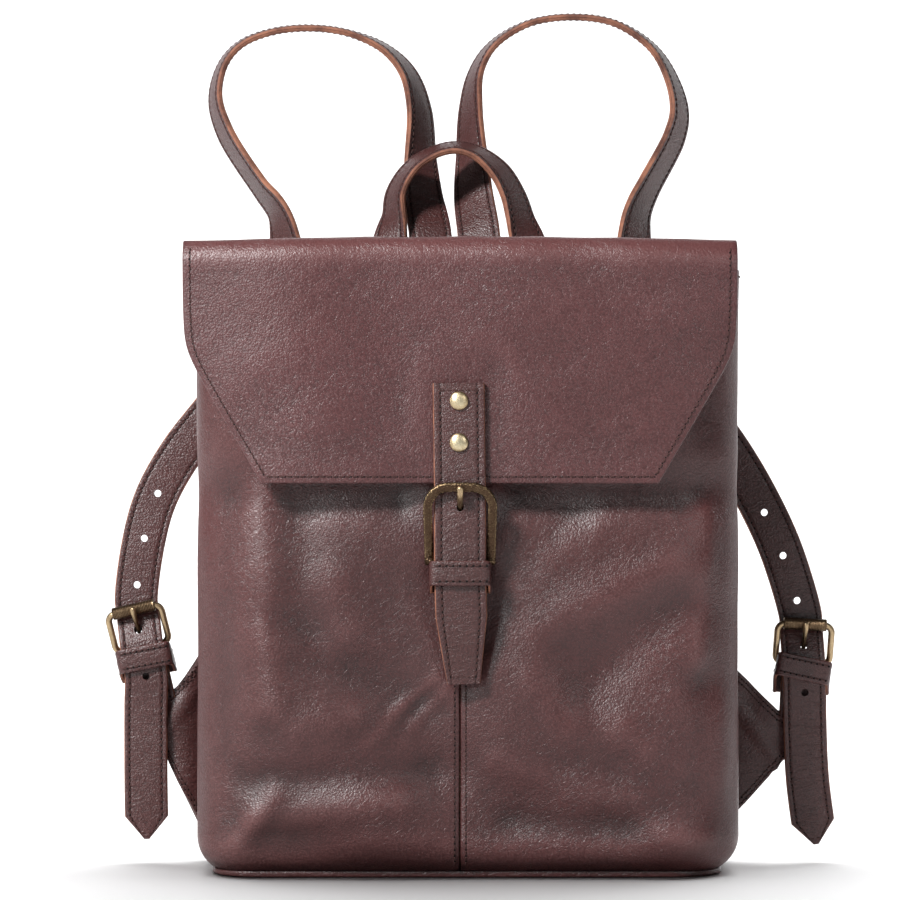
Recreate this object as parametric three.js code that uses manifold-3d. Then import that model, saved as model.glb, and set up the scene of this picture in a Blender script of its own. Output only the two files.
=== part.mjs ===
// A leather flap backpack, built sub-part by sub-part as a three.js scene graph.
// Units are millimetres. The origin is the centre of the base's underside, +Z is up, the flap
// side faces -Y and +X is to the viewer's right when looking at the flap.
import * as THREE from "three";
import { mergeVertices } from "three/addons/utils/BufferGeometryUtils.js";
import Module from "manifold-3d";

const wasm = await Module();
wasm.setup();

// ---- driving dimensions ---------------------------------------------------------------------
const GAP = 0.3; // between faces that touch on the real bag
const BAG = { width: 301, depth: 96, rim: 336, back: 347, roll: 12, cornerFront: 22, cornerBack: 16 };
const LEATHER = 2.2; // body and flap leather
const LINING = 0.9; // cotton lining
const FACING = { thickness: 1.6, height: 31 }; // leather band sewn inside the mouth
const BOARD = 2; // stiffener in the base
const SEAM_BACK = 34; // y of the seam between side and back panel
const SEAM_BASE = 3; // z of the seam between the walls and the base

// The flap's sides are straight down to `straight`, bend in by `bendIn` down to `shoulder`, and
// then run to the bottom edge, which is 2 * cornerX wide. `edge` is how far its lining is set in.
const FLAP = {
  rear: 44, front: -60, top: 353, bend: 12, halfWidth: 152, cornerX: 108, bottom: 217,
  straight: 308, shoulder: 280, bendIn: 7, edge: 3,
};
const STRAP = { width: 24.5, thickness: 4, pitch: 27, hole: 2.4 };
const CLOSURE = { width: 28, top: 272, tip: 108, tipWidth: 18, taper: 32 };
const HANDLE = { width: 22, base: 348.5 };
const SEWN = { top: 345.5, bottom: 315 }; // the flat ends of the straps and handle on the back panel
const RIVET = { radius: 5, height: 2.2, post: 1.5, flange: 4.4, heights: [263, 240.5] };
const PATCH = { halfTop: 64, halfBottom: 50, top: 343, bottom: 306, thickness: 2 };
const POCKET = { width: 160, height: 120, bottom: 150, thickness: 1.2 };
const BACK_Y = BAG.depth / 2; // outer face of the back panel
const STRAP_Y = BACK_Y + GAP + STRAP.thickness / 2; // middle of a strap sewn flat on the back
const FLAP_STRAP_Y = FLAP.front - GAP - STRAP.thickness / 2; // middle of the closure strap on the flap

// Buckles: the hinge bar is each buckle's own origin, and its frame leans forward from there.
const CLOSURE_BUCKLE = {
  at: [0, -56.5, 175], tilt: 16.5, height: 42.5, halfWidth: 20.5, corner: 13, toeIn: 1.2,
  innerHalf: 15.6, innerCorner: 9, crown: 0.9, plate: 3.2, band: 5.2, bar: 1.7,
  prong: 1.4, eye: 4.2, slot: 2.6, chapeWidth: 26, keeperHalf: 15.2, keeperBack: 5.1,
};
const STRAP_BUCKLE = {
  tilt: 14, height: 23, halfWidth: 15.5, corner: 2.5, wire: 1.9, roller: 3.6, rollerLength: 24.6,
  prong: 1.3, eye: 3.8, slot: 2.4, prongTravel: 8, chapeWidth: 23, keeperHalf: 14.3, keeperBack: 3.7,
};
const FOLD = 2; // leather thickness where a chape wraps its bar
const KEEPER = { top: -4.4, height: 13.4, wall: 1.8, front: -9.2 };
// The middle of each doubled chape below its bar, in y and z from the bar.
const CLOSURE_CHAPE = [[1.8, -12], [2.6, -17], [6.1, -28], [6, -48]];
const STRAP_CHAPE = [[-0.4, -9], [-0.2, -14], [0, -27]];
// The middle of each prong, and of a strap where it passes its buckle, in y and z from the bar.
const CLOSURE_PRONG = [[-2, 3.4], [-2.7, 15.5], [-14.3, 36.6], [-15.6, 41]];
const STRAP_PRONG = [[-0.9, 3.2], [-1.2, 5.5], [-10.4, 20], [-10.9, 24]];
const STRAP_THROUGH = [[1.2, 27], [0.8, 21], [-3.3, 11], [-6.7, 2.5], [-6.8, -6], [-6.5, -17]];

// Each side's buckle place (its hinge bar) and its lean, seen from the front. The strap runs
// through the buckle a little askew: it moves sideways by `drift` for each millimetre of height.
const SIDES = {
  left: { sign: -1, bar: [-181.5, 44, 122.5], lean: 13, drift: 0.08 },
  right: { sign: 1, bar: [196.5, 44, 113.5], lean: -3, drift: -0.09 },
};

// Routes of the shoulder straps from the back seam, over their loops and down to the buckles.
// Each point is x, y, z and the roll of the strap: 0 lies flat, 90 stands on edge.
const LOOP = {
  left: [
    [-16, STRAP_Y, 348.5, 0], [-17, 57, 361, 10], [-21, 75, 384, 30], [-22.5, 87, 407, 48],
    [-23.5, 93, 436, 60], [-30, 95, 457, 70], [-43, 96, 471, 78], [-63, 96, 480, 83],
    [-85, 96, 483.5, 83], [-109, 95, 481.5, 82], [-128, 93, 474, 80], [-138.5, 91, 462, 78],
    [-143, 88, 442, 74], [-137, 84, 421, 70], [-116, 75, 388, 70], [-106, 68, 374, 64],
    [-101, 61, 355, 46], [-100.5, 54.5, 333, 12], [-111, 52.5, 300, 0], [-137, 52, 264, 0],
    [-161, 51.5, 233, 0], [-175, 49, 207, 0], [-182, 46.5, 180, 0],
  ],
  right: [
    [12, STRAP_Y, 348.5, 0], [11, 57, 361, 10], [8, 75, 384, 30], [7, 87, 407, 48],
    [6.5, 93, 436, 62], [9.5, 95, 457, 74], [19, 96, 473, 80], [40, 96, 486, 83],
    [66, 96, 490, 83], [92, 95, 486, 82], [114, 93, 471, 78], [125, 91, 452, 72],
    [129, 88, 434, 66], [126, 85, 419, 62], [110, 75, 388, 60], [104, 69, 374, 54],
    [101, 61, 355, 40], [99.5, 54.5, 331, 12], [112.5, 52.5, 295, 0], [137.5, 52, 260, 0],
    [159, 51.5, 229, 0], [173.5, 49, 203, 0], [185, 46.5, 177, 0],
  ],
};
// Where each strap's loose end hangs below its keeper, down to the pointed tip.
const TAIL = {
  left: [[-179.5, 38.5, 90], [-179.5, 39, 50], [-179, 40, 13]],
  right: [[197.5, 38.5, 84], [199, 39, 48], [204, 40, 10]],
};
// The grab handle's arch, with the same four numbers at each point.
const ARCH = [
  [-40, 50.5, 348.5, 0], [-40, 53, 357, 30], [-38, 58, 372, 58], [-37, 59.5, 384, 64],
  [-28, 60.5, 399, 70], [-14, 61, 408, 74], [-2, 61, 410.5, 74], [10, 61, 407.5, 70],
  [23, 60.5, 397, 60], [31, 59.5, 383, 54], [35.5, 57, 368, 46], [39, 53, 357, 28],
  [41, 50.5, 348.5, 0],
];
// A side tab seen from the front: its sewn edge first, its free corner where the chape joins.
const TAB = { thickness: 4.4, y: 45.8, top: 120, bottom: 17, sewn: 149, corner: 2, reach: 16, joint: 1.2 };

// ---- materials ------------------------------------------------------------------------------
const finish = (color, roughness, metalness = 0) =>
  new THREE.MeshStandardMaterial({ color, roughness, metalness });
const LEATHER_BROWN = finish(0x5f4140, 0.5);
const STRAP_BROWN = finish(0x5a3d3a, 0.55);
const COTTON = finish(0x8a7358, 0.95);
const BOARD_GREY = finish(0x6b6259, 0.9);
const BRASS = finish(0x8f7a52, 0.4, 0.9);

// ---- making and cutting solids --------------------------------------------------------------
function solid(geometry, matrix) {
  const bare = new THREE.BufferGeometry();
  bare.setAttribute("position", geometry.getAttribute("position").clone());
  if (geometry.index) bare.setIndex(geometry.index.clone());
  if (matrix) bare.applyMatrix4(matrix);
  const merged = mergeVertices(bare, 1e-3);
  const vertProperties = new Float32Array(merged.attributes.position.array);
  const triVerts = new Uint32Array(merged.index.array);
  return new wasm.Manifold(new wasm.Mesh({ numProp: 3, vertProperties, triVerts }));
}

function geometryOf(manifold) {
  const { vertProperties, triVerts } = manifold.getMesh();
  const geometry = new THREE.BufferGeometry();
  geometry.setAttribute("position", new THREE.BufferAttribute(vertProperties, 3));
  geometry.setIndex(new THREE.BufferAttribute(triVerts, 1));
  geometry.computeVertexNormals();
  return geometry;
}

const X_AXIS = new THREE.Vector3(1, 0, 0);
const Y_AXIS = new THREE.Vector3(0, 1, 0);
const bag = new THREE.Group();

// Adds one named sub-part to a group, from a geometry or a manifold.
function add(name, shape, material, group = bag) {
  const mesh = new THREE.Mesh(shape.getMesh ? geometryOf(shape) : shape, material);
  mesh.name = name;
  group.add(mesh);
  return mesh;
}

const box = (x0, x1, y0, y1, z0, z1) =>
  solid(new THREE.BoxGeometry(x1 - x0, y1 - y0, z1 - z0)
    .translate((x0 + x1) / 2, (y0 + y1) / 2, (z0 + z1) / 2));

// A profile drawn in y and z, made `width` wide along X about x = 0.
const YZ_TO_WORLD = new THREE.Matrix4().set(0, 0, 1, 0, 1, 0, 0, 0, 0, 1, 0, 0, 0, 0, 0, 1);
function acrossX(shape, width, curveSegments = 8) {
  const geometry = new THREE.ExtrudeGeometry(shape, { depth: width, bevelEnabled: false, curveSegments });
  return geometry.translate(0, 0, -width / 2).applyMatrix4(YZ_TO_WORLD);
}

// An outline drawn in x and z, made solid from y0 to y1.
function alongY(shape, y0, y1, curveSegments = 8) {
  const options = { depth: y1 - y0, bevelEnabled: false, curveSegments };
  return new THREE.ExtrudeGeometry(shape, options).rotateX(Math.PI / 2).translate(0, y1, 0);
}

// A cylinder along X, about a point in y and z.
const barAlongX = (radius, length, y = 0, z = 0) =>
  solid(new THREE.CylinderGeometry(radius, radius, length, 14).rotateZ(Math.PI / 2).translate(0, y, z));

// A bent round wire in the plane across `axis`, mitred at each bend, as a ring or with flat ends.
function wire(points, radius, axis, { closed = false, sides = 8 } = {}) {
  const count = points.length;
  const at = points.map((p) => new THREE.Vector3(...p));
  const positions = [];
  for (let i = 0; i < count; i++) {
    const before = closed || i > 0 ? at[i].clone().sub(at[(i + count - 1) % count]).normalize() : null;
    const after = closed || i < count - 1 ? at[(i + 1) % count].clone().sub(at[i]).normalize() : before;
    const along = (before ?? after).clone().add(after).normalize();
    const stretch = 1 / along.dot(after);
    const out = axis.clone().cross(along).normalize();
    for (let k = 0; k < sides; k++) {
      const angle = (2 * Math.PI * k) / sides;
      const corner = at[i].clone().addScaledVector(out, radius * stretch * Math.cos(angle));
      positions.push(...corner.addScaledVector(axis, radius * Math.sin(angle)));
    }
  }
  return loft(positions, sides, count, closed);
}

// Skins a row of sections, each of `sides` points, and caps the two ends unless they meet.
function loft(positions, sides, count, closed = false) {
  const index = [];
  for (let i = 0; i < (closed ? count : count - 1); i++)
    for (let k = 0; k < sides; k++) {
      const [a, b] = [sides * i + k, sides * i + ((k + 1) % sides)];
      const [c, d] = [a, b].map((j) => (j + sides) % (sides * count));
      index.push(a, b, d, a, d, c);
    }
  const last = sides * (count - 1);
  for (let k = 1; k < sides - 1 && !closed; k++)
    index.push(0, k + 1, k, last, last + k, last + k + 1);
  const geometry = new THREE.BufferGeometry();
  geometry.setAttribute("position", new THREE.Float32BufferAttribute(positions, 3));
  geometry.setIndex(index);
  return geometry;
}

// A flat strap along a curve: roll turns its width from lying in the front view to standing on edge.
// `taper` is the length at the far end over which the width falls to `tipWidth`.
function ribbon(points, { width, thickness, stations, side = 1, taper = 0, tipWidth = width }) {
  const curve = new THREE.CatmullRomCurve3(
    points.map(([x, y, z]) => new THREE.Vector3(x, y, z)), false, "centripetal");
  curve.arcLengthDivisions = 600;
  const rolls = points.map((p) => THREE.MathUtils.degToRad(p[3] ?? 0));
  const length = curve.getLength();
  const positions = [];
  for (let i = 0; i < stations; i++) {
    const u = i / (stations - 1);
    const key = curve.getUtoTmapping(u) * (points.length - 1);
    const below = Math.min(Math.floor(key), points.length - 2);
    const roll = THREE.MathUtils.lerp(rolls[below], rolls[below + 1], key - below);
    const along = curve.getTangentAt(u);
    const flat = new THREE.Vector3(along.z * side, 0, -along.x * side).normalize();
    const across = flat.multiplyScalar(Math.cos(roll)).add(new THREE.Vector3(0, Math.sin(roll), 0));
    across.addScaledVector(along, -across.dot(along)).normalize();
    const normal = along.clone().cross(across);
    const left = taper ? Math.min(1, ((1 - u) * length) / taper) : 1;
    const half = THREE.MathUtils.lerp(tipWidth, width, left) / 2;
    const middle = curve.getPointAt(u);
    for (const [b, n] of [[-1, -1], [1, -1], [1, 1], [-1, 1]]) {
      const corner = middle.clone().addScaledVector(across, b * half);
      positions.push(...corner.addScaledVector(normal, (n * thickness) / 2));
    }
  }
  return { geometry: loft(positions, 4, stations), curve, length };
}

// ---- the body of the bag --------------------------------------------------------------------
// The bag's outside moved in by `inset`: a block with round upright corners and a rolled base edge.
function block(inset, bottom, top) {
  const roll = BAG.roll - inset;
  const [w, d] = [BAG.width / 2 - BAG.roll, BAG.depth / 2 - BAG.roll];
  const [front, back] = [BAG.cornerFront - BAG.roll, BAG.cornerBack - BAG.roll];
  const outline = new THREE.Shape();
  outline.absarc(w - front, -d + front, front, -Math.PI / 2, 0);
  outline.absarc(w - back, d - back, back, 0, Math.PI / 2);
  outline.absarc(-w + back, d - back, back, Math.PI / 2, Math.PI);
  outline.absarc(-w + front, -d + front, front, Math.PI, 1.5 * Math.PI);
  const made = new THREE.ExtrudeGeometry(outline, {
    depth: top - bottom, curveSegments: 4, bevelThickness: roll, bevelSize: roll, bevelSegments: 3,
  });
  made.translate(0, 0, bottom + roll);
  return solid(made).intersect(box(-200, 200, -100, 100, bottom - 1, top));
}

const FAR = 400; // larger than the bag, for the boxes that cut it
function makeBody() {
  const skin = block(0, 0, BAG.back).subtract(block(LEATHER, LEATHER, BAG.back + 1));
  const walls = skin.intersect(box(-FAR, FAR, -FAR, SEAM_BACK - GAP / 2, SEAM_BASE + GAP / 2, BAG.rim));
  add("front_panel_left", walls.intersect(box(-FAR, -GAP / 2, -FAR, FAR, -FAR, FAR)), LEATHER_BROWN);
  add("front_panel_right", walls.intersect(box(GAP / 2, FAR, -FAR, FAR, -FAR, FAR)), LEATHER_BROWN);
  const rear = box(-FAR, FAR, SEAM_BACK + GAP / 2, FAR, SEAM_BASE + GAP / 2, FAR);
  add("back_panel", skin.intersect(rear), LEATHER_BROWN);
  add("base_panel", skin.intersect(box(-FAR, FAR, -FAR, FAR, -FAR, SEAM_BASE - GAP / 2)), LEATHER_BROWN);

  const boardX = BAG.width / 2 - BAG.cornerFront;
  const boardY = BAG.depth / 2 - BAG.cornerBack;
  const boardTop = LEATHER + GAP + BOARD;
  add("base_board", box(-boardX, boardX, -boardY, boardY, LEATHER + GAP, boardTop), BOARD_GREY);

  const inside = LEATHER + GAP;
  const facingBottom = BAG.rim - 1 - FACING.height;
  const cloth = block(inside, boardTop + GAP, facingBottom - GAP);
  const room = block(inside + LINING, boardTop + GAP + LINING, BAG.rim);
  add("lining", cloth.subtract(room), COTTON);
  const band = block(inside, 0, BAG.rim - 1).subtract(block(inside + FACING.thickness, -1, BAG.rim));
  add("mouth_facing", band.intersect(box(-FAR, FAR, -FAR, FAR, facingBottom, FAR)), LEATHER_BROWN);
  const pocketBack = BACK_Y - inside - LINING - GAP;
  const half = POCKET.width / 2;
  add("inner_pocket", box(-half, half, pocketBack - POCKET.thickness, pocketBack,
    POCKET.bottom, POCKET.bottom + POCKET.height), COTTON);
}

// ---- the flap -------------------------------------------------------------------------------
// The flap's side profile between two depths below its outer face.
function flapProfile(outer, inner, rear) {
  const { front, top, bend, bottom } = FLAP;
  const [cy, cz] = [front + bend, top - bend];
  const profile = new THREE.Shape();
  profile.moveTo(rear, top - inner);
  profile.lineTo(rear, top - outer);
  profile.lineTo(cy, top - outer);
  profile.absarc(cy, cz, bend - outer, Math.PI / 2, Math.PI);
  profile.lineTo(front + outer, bottom - 1);
  profile.lineTo(front + inner, bottom - 1);
  profile.absarc(cy, cz, bend - inner, Math.PI, Math.PI / 2, true);
  return profile;
}

// The flap's outline in the front view, moved in by `inset`: straight sides, then clipped corners.
function flapOutline(inset) {
  const half = FLAP.halfWidth - inset;
  const corner = FLAP.cornerX - inset * 0.6;
  const low = FLAP.bottom + inset;
  const { straight, shoulder, bendIn } = FLAP;
  const above = FLAP.top + 10;
  const between = (straight + shoulder) / 2 - 2;
  const outline = new THREE.Shape();
  outline.moveTo(-half, above);
  outline.lineTo(-half, straight);
  outline.quadraticCurveTo(-half, between, -half + bendIn, shoulder);
  outline.lineTo(-corner, low);
  outline.lineTo(corner, low);
  outline.lineTo(half - bendIn, shoulder);
  outline.quadraticCurveTo(half, between, half, straight);
  outline.lineTo(half, above);
  return outline;
}

const rivetHole = (z) => {
  const drill = new THREE.CylinderGeometry(RIVET.post + GAP, RIVET.post + GAP, 40, 12);
  return solid(drill.translate(0, FLAP.front, z));
};

function makeFlap(drilled) {
  const cut = (shape) => RIVET.heights.reduce((made, z) => made.subtract(rivetHole(z)), shape);
  const width = 2 * FLAP.halfWidth;
  const leather = solid(acrossX(flapProfile(0, LEATHER, FLAP.rear), width, 5));
  const inLeather = solid(alongY(flapOutline(0), -FAR, FAR, 5));
  add("flap_leather", cut(leather.intersect(inLeather)), LEATHER_BROWN);
  const under = LEATHER + GAP;
  const lining = solid(acrossX(flapProfile(under, under + LINING, FLAP.rear - 2), width, 5));
  const inLining = solid(alongY(flapOutline(FLAP.edge), -FAR, FAR, 5));
  add("flap_lining", cut(lining.intersect(inLining)), COTTON);

  const front = FLAP_STRAP_Y - STRAP.thickness / 2;
  const rear = FLAP.front + under + LINING;
  RIVET.heights.forEach((z, i) => {
    const which = ["upper", "lower"][i];
    const { radius, height } = RIVET;
    const rim = height / 3;
    const dome = [[0, 0], [radius, 0], [radius, rim], [0.7 * radius, height - 0.5],
      [0.35 * radius, height], [0, height]];
    const cap = new THREE.LatheGeometry(dome.map(([r, h]) => new THREE.Vector2(r, h)), 20);
    add("rivet_cap_" + which, cap.rotateX(Math.PI).translate(0, front - GAP, z), BRASS);
    const reach = rear + GAP - front;
    const post = [[0, 0], [RIVET.post, 0], [RIVET.post, reach], [RIVET.flange, reach],
      [RIVET.flange, reach + 1], [0, reach + 1]];
    const pin = new THREE.LatheGeometry(post.map(([r, h]) => new THREE.Vector2(r, h)), 16);
    add("rivet_post_" + which, pin.translate(0, front, z), BRASS);
  });
  add("closure_strap", cut(drilled), STRAP_BROWN);
}

// ---- buckles --------------------------------------------------------------------------------
// A chape seen from the side: it wraps the bar at the origin and its two layers lie together below.
// `line` is the middle of the doubled leather, and a slot at the fold clears the prong's eye.
function chape(width, barRadius, line, slot) {
  const outer = barRadius + GAP + FOLD;
  const profile = new THREE.Shape();
  const [near, ...rest] = line;
  const waist = -outer * 0.6;
  profile.absarc(0, 0, outer, 0, Math.PI);
  profile.quadraticCurveTo(-outer, waist, near[0] - FOLD, near[1]);
  for (const [y, z] of rest) profile.lineTo(y - FOLD, z);
  for (const [y, z] of rest.reverse()) profile.lineTo(y + FOLD, z);
  profile.lineTo(near[0] + FOLD, near[1]);
  profile.quadraticCurveTo(outer, waist, outer, 0);
  const hole = new THREE.Path();
  hole.absarc(0, 0, barRadius + GAP, 0, 2 * Math.PI, true);
  profile.holes.push(hole);
  const strip = solid(acrossX(profile, width, 6));
  return strip.subtract(box(-slot, slot, -10, 10, -outer - 2, outer + 1));
}

// A keeper: a closed loop of leather round the chape and the strap in front of it.
function keeper(halfWidth, back) {
  const rect = (make, w, y0, y1) => make.moveTo(-w, y0).lineTo(w, y0).lineTo(w, y1).lineTo(-w, y1);
  const loop = new THREE.Shape();
  const { wall, front } = KEEPER;
  rect(loop, halfWidth + wall, front - wall, back + wall);
  const room = new THREE.Path();
  rect(room, halfWidth, front, back);
  loop.holes.push(room);
  const options = { depth: KEEPER.height, bevelEnabled: false };
  return new THREE.ExtrudeGeometry(loop, options).translate(0, 0, KEEPER.top - KEEPER.height);
}

// A prong: an eye round the bar and a bent tongue that lies behind the strap, then on the frame.
function prong(radius, barRadius, path, eyeWidth) {
  const [inner, outer] = [barRadius + 0.25, barRadius + 2];
  const ring = [[inner, 0], [outer, 0], [outer, eyeWidth], [inner, eyeWidth], [inner, 0]];
  const eye = new THREE.LatheGeometry(ring.map(([r, h]) => new THREE.Vector2(r, h)), 16);
  eye.translate(0, -eyeWidth / 2, 0).rotateZ(Math.PI / 2);
  const tongue = solid(wire(path.map(([y, z]) => [0, y, z]), radius, X_AXIS));
  return solid(eye).add(tongue).subtract(barAlongX(inner, 30));
}

// The room that a prong needs through its strap, at an angle about its bar.
const clearance = (radius, path, turn = 0) =>
  solid(wire(path.map(([y, z]) => [0, y, z]), radius + 0.5, X_AXIS)).rotate([turn, 0, 0]);

function closureBuckle() {
  const b = CLOSURE_BUCKLE;
  const place = new THREE.Group();
  place.position.set(...b.at);
  bag.add(place);
  // The frame is a cast plate shaped like a horseshoe, with a round bar across its open end.
  const horseshoe = (half, top, foot, radius) => {
    const shoulder = top - b.crown;
    const outline = new THREE.Shape();
    outline.moveTo(-half + b.toeIn, foot);
    outline.lineTo(-half, top - radius);
    outline.quadraticCurveTo(-half, shoulder, -half + radius, shoulder);
    outline.quadraticCurveTo(0, top + b.crown, half - radius, shoulder);
    outline.quadraticCurveTo(half, shoulder, half, top - radius);
    outline.lineTo(half - b.toeIn, foot);
    return outline;
  };
  const outside = horseshoe(b.halfWidth, b.height, -b.bar, b.corner);
  const inside = horseshoe(b.innerHalf, b.height - b.band, -b.height, b.innerCorner);
  const plate = solid(alongY(outside, -b.plate / 2, b.plate / 2, 6));
  const window = solid(alongY(inside, -b.plate, b.plate, 6));
  const bar = barAlongX(b.bar, 2 * (b.halfWidth - b.toeIn) - 1);
  const frame = new THREE.Group();
  frame.rotation.x = THREE.MathUtils.degToRad(b.tilt);
  place.add(frame);
  add("closure_buckle_frame", plate.subtract(window).add(bar), BRASS, frame);
  add("closure_buckle_prong", prong(b.prong, b.bar, CLOSURE_PRONG, b.eye), BRASS, place);
  add("closure_chape", chape(b.chapeWidth, b.bar, CLOSURE_CHAPE, b.slot), STRAP_BROWN, place);
  add("closure_keeper", keeper(b.keeperHalf, b.keeperBack), STRAP_BROWN, place);
}

// The strap that closes the flap: flat on the flap, then through its buckle down to its tip.
function closureStrap() {
  const b = CLOSURE_BUCKLE;
  const [, by, bz] = b.at;
  const route = [
    [0, FLAP_STRAP_Y, CLOSURE.top], [0, FLAP_STRAP_Y, 245], [0, FLAP_STRAP_Y, 222],
    [0, by - 5.9, bz + 38], [0, by - 6.3, bz + 20], [0, by - 6.7, bz],
    [0, by - 6.7, bz - 14], [0, by - 3.4, bz - 40], [0, by + 0.5, CLOSURE.tip],
  ];
  const options = {
    width: CLOSURE.width, thickness: STRAP.thickness, stations: 40,
    taper: CLOSURE.taper, tipWidth: CLOSURE.tipWidth,
  };
  const hole = clearance(b.prong, CLOSURE_PRONG).translate(b.at);
  return solid(ribbon(route, options).geometry).subtract(hole);
}

// ---- a shoulder strap with its roller buckle, keeper, chape and side tab ----------------------
function makeSide(side) {
  const { sign, bar, lean, drift } = SIDES[side];
  const b = STRAP_BUCKLE;
  const place = new THREE.Group();
  place.position.set(...bar);
  place.rotation.y = -THREE.MathUtils.degToRad(lean);
  bag.add(place);
  place.updateMatrixWorld(true);

  const frame = new THREE.Group();
  frame.rotation.x = THREE.MathUtils.degToRad(b.tilt);
  place.add(frame);
  const [w, h, c] = [b.halfWidth, b.height, b.corner];
  const corners = [[-w + c, 0], [w - c, 0], [w, c], [w, h - c], [w - c, h], [-w + c, h], [-w, h - c], [-w, c]];
  const loop = wire(corners.map(([x, z]) => [x, 0, z]), b.wire, Y_AXIS, { closed: true, sides: 10 });
  add("strap_buckle_frame_" + side, loop, BRASS, frame);
  const inner = b.wire + GAP;
  const tube = [[inner, 0], [b.roller, 0], [b.roller, b.rollerLength], [inner, b.rollerLength], [inner, 0]];
  const roller = new THREE.LatheGeometry(tube.map(([r, l]) => new THREE.Vector2(r, l)), 18);
  roller.translate(0, -b.rollerLength / 2, 0).rotateZ(Math.PI / 2).translate(0, 0, b.height);
  add("strap_buckle_roller_" + side, roller, BRASS, frame);
  add("strap_buckle_prong_" + side, prong(b.prong, b.wire, STRAP_PRONG, b.eye), BRASS, place);
  add("strap_chape_" + side, chape(b.chapeWidth, b.wire, STRAP_CHAPE, b.slot), STRAP_BROWN, place);
  add("strap_keeper_" + side, keeper(b.keeperHalf, b.keeperBack), STRAP_BROWN, place);

  // The strap itself, threaded behind the roller and over the bar.
  const through = STRAP_THROUGH.map(([y, z]) =>
    new THREE.Vector3(drift * (z - 2), y, z).applyMatrix4(place.matrixWorld));
  const route = [...LOOP[side], ...through.map((p) => [p.x, p.y, p.z, 0]), ...TAIL[side]];
  const options = {
    width: STRAP.width, thickness: STRAP.thickness, stations: 96, side: -sign, taper: 13, tipWidth: 3,
  };
  const strap = ribbon(route, options);
  const slots = [0, b.prongTravel / 2, b.prongTravel]
    .map((turn) => clearance(b.prong, STRAP_PRONG, turn))
    .reduce((a, c) => a.add(c));
  const posed = solid(geometryOf(slots), place.matrixWorld);
  let made = solid(strap.geometry).subtract(posed);
  for (const p of strapHoles(strap, place.matrixWorld)) {
    const drill = new THREE.CylinderGeometry(STRAP.hole, STRAP.hole, 12, 12).translate(p.x, p.y, p.z);
    made = made.subtract(solid(drill));
  }
  add("shoulder_strap_" + side, made, STRAP_BROWN);
  makeTab(side, sign);
  sewnEnd("strap_end_" + side, LOOP[side][0][0], STRAP.width);
}

// The punched holes: three above the one that the prong uses and one below it, a pitch apart.
function strapHoles({ curve, length }, buckle) {
  const used = new THREE.Vector3(0, -3.6, 10).applyMatrix4(buckle);
  let nearest = 0;
  for (let u = 0; u <= 1; u += 0.001)
    if (curve.getPointAt(u).distanceTo(used) < curve.getPointAt(nearest).distanceTo(used)) nearest = u;
  return [-3, -2, -1, 1].map((k) => curve.getPointAt(nearest + (k * STRAP.pitch) / length));
}

// The leather wing sewn into the back seam that the chape is caught in.
function makeTab(side, sign) {
  const { bar, lean } = SIDES[side];
  const turn = THREE.MathUtils.degToRad(lean);
  const foot = TAB.joint - STRAP_CHAPE[STRAP_CHAPE.length - 1][1];
  const [jx, jz] = [bar[0] + foot * Math.sin(turn), bar[2] - foot * Math.cos(turn)];
  const [cx, cz] = [Math.cos(turn), Math.sin(turn)];
  const half = STRAP_BUCKLE.chapeWidth / 2 + 1;
  const outline = new THREE.Shape();
  const points = [
    [sign * TAB.sewn, TAB.top], [jx - sign * half * cx, jz - sign * half * cz],
    [jx + sign * half * cx, jz + sign * half * cz], [jx + sign * TAB.corner, jz - TAB.reach],
    [sign * TAB.sewn, TAB.bottom],
  ];
  points.forEach(([x, z], i) => (i ? outline.lineTo(x, z) : outline.moveTo(x, z)));
  const [y0, y1] = [TAB.y - TAB.thickness / 2, TAB.y + TAB.thickness / 2];
  add("side_tab_" + side, alongY(outline, y0, y1), LEATHER_BROWN);
}

// The flat end of a strap or of the handle, sewn to the back panel under the anchor patch.
function sewnEnd(name, x, width) {
  const y = BACK_Y + GAP;
  const end = box(x - width / 2, x + width / 2, y, y + STRAP.thickness, SEWN.bottom, SEWN.top);
  add(name, end, STRAP_BROWN);
}

// ---- handle and anchor patch ----------------------------------------------------------------
function makeHandle() {
  const options = { width: HANDLE.width, thickness: STRAP.thickness, stations: 44, side: -1 };
  add("handle", ribbon(ARCH, options).geometry, STRAP_BROWN);
  sewnEnd("handle_end_left", ARCH[0][0], HANDLE.width);
  sewnEnd("handle_end_right", ARCH[ARCH.length - 1][0], HANDLE.width);

  const outline = new THREE.Shape();
  outline.moveTo(-PATCH.halfTop, PATCH.top).lineTo(-PATCH.halfBottom, PATCH.bottom);
  outline.lineTo(PATCH.halfBottom, PATCH.bottom).lineTo(PATCH.halfTop, PATCH.top);
  const patchY = BACK_Y + 2 * GAP + STRAP.thickness;
  add("anchor_patch", alongY(outline, patchY, patchY + PATCH.thickness), LEATHER_BROWN);
}

makeBody();
makeFlap(closureStrap());
closureBuckle();
makeSide("left");
makeSide("right");
makeHandle();

export default bag;
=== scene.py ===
"""A leather flap backpack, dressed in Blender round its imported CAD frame.

Lengths are in millimetres and angles in degrees until mesh_object() makes metres of them. The frame
is the CAD's own: the origin is under the middle of the base, +Z is up, the flap faces -Y and +X is
to the right. The leather sags and creases by shaping in code, and no simulation is run.
"""

import math

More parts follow.
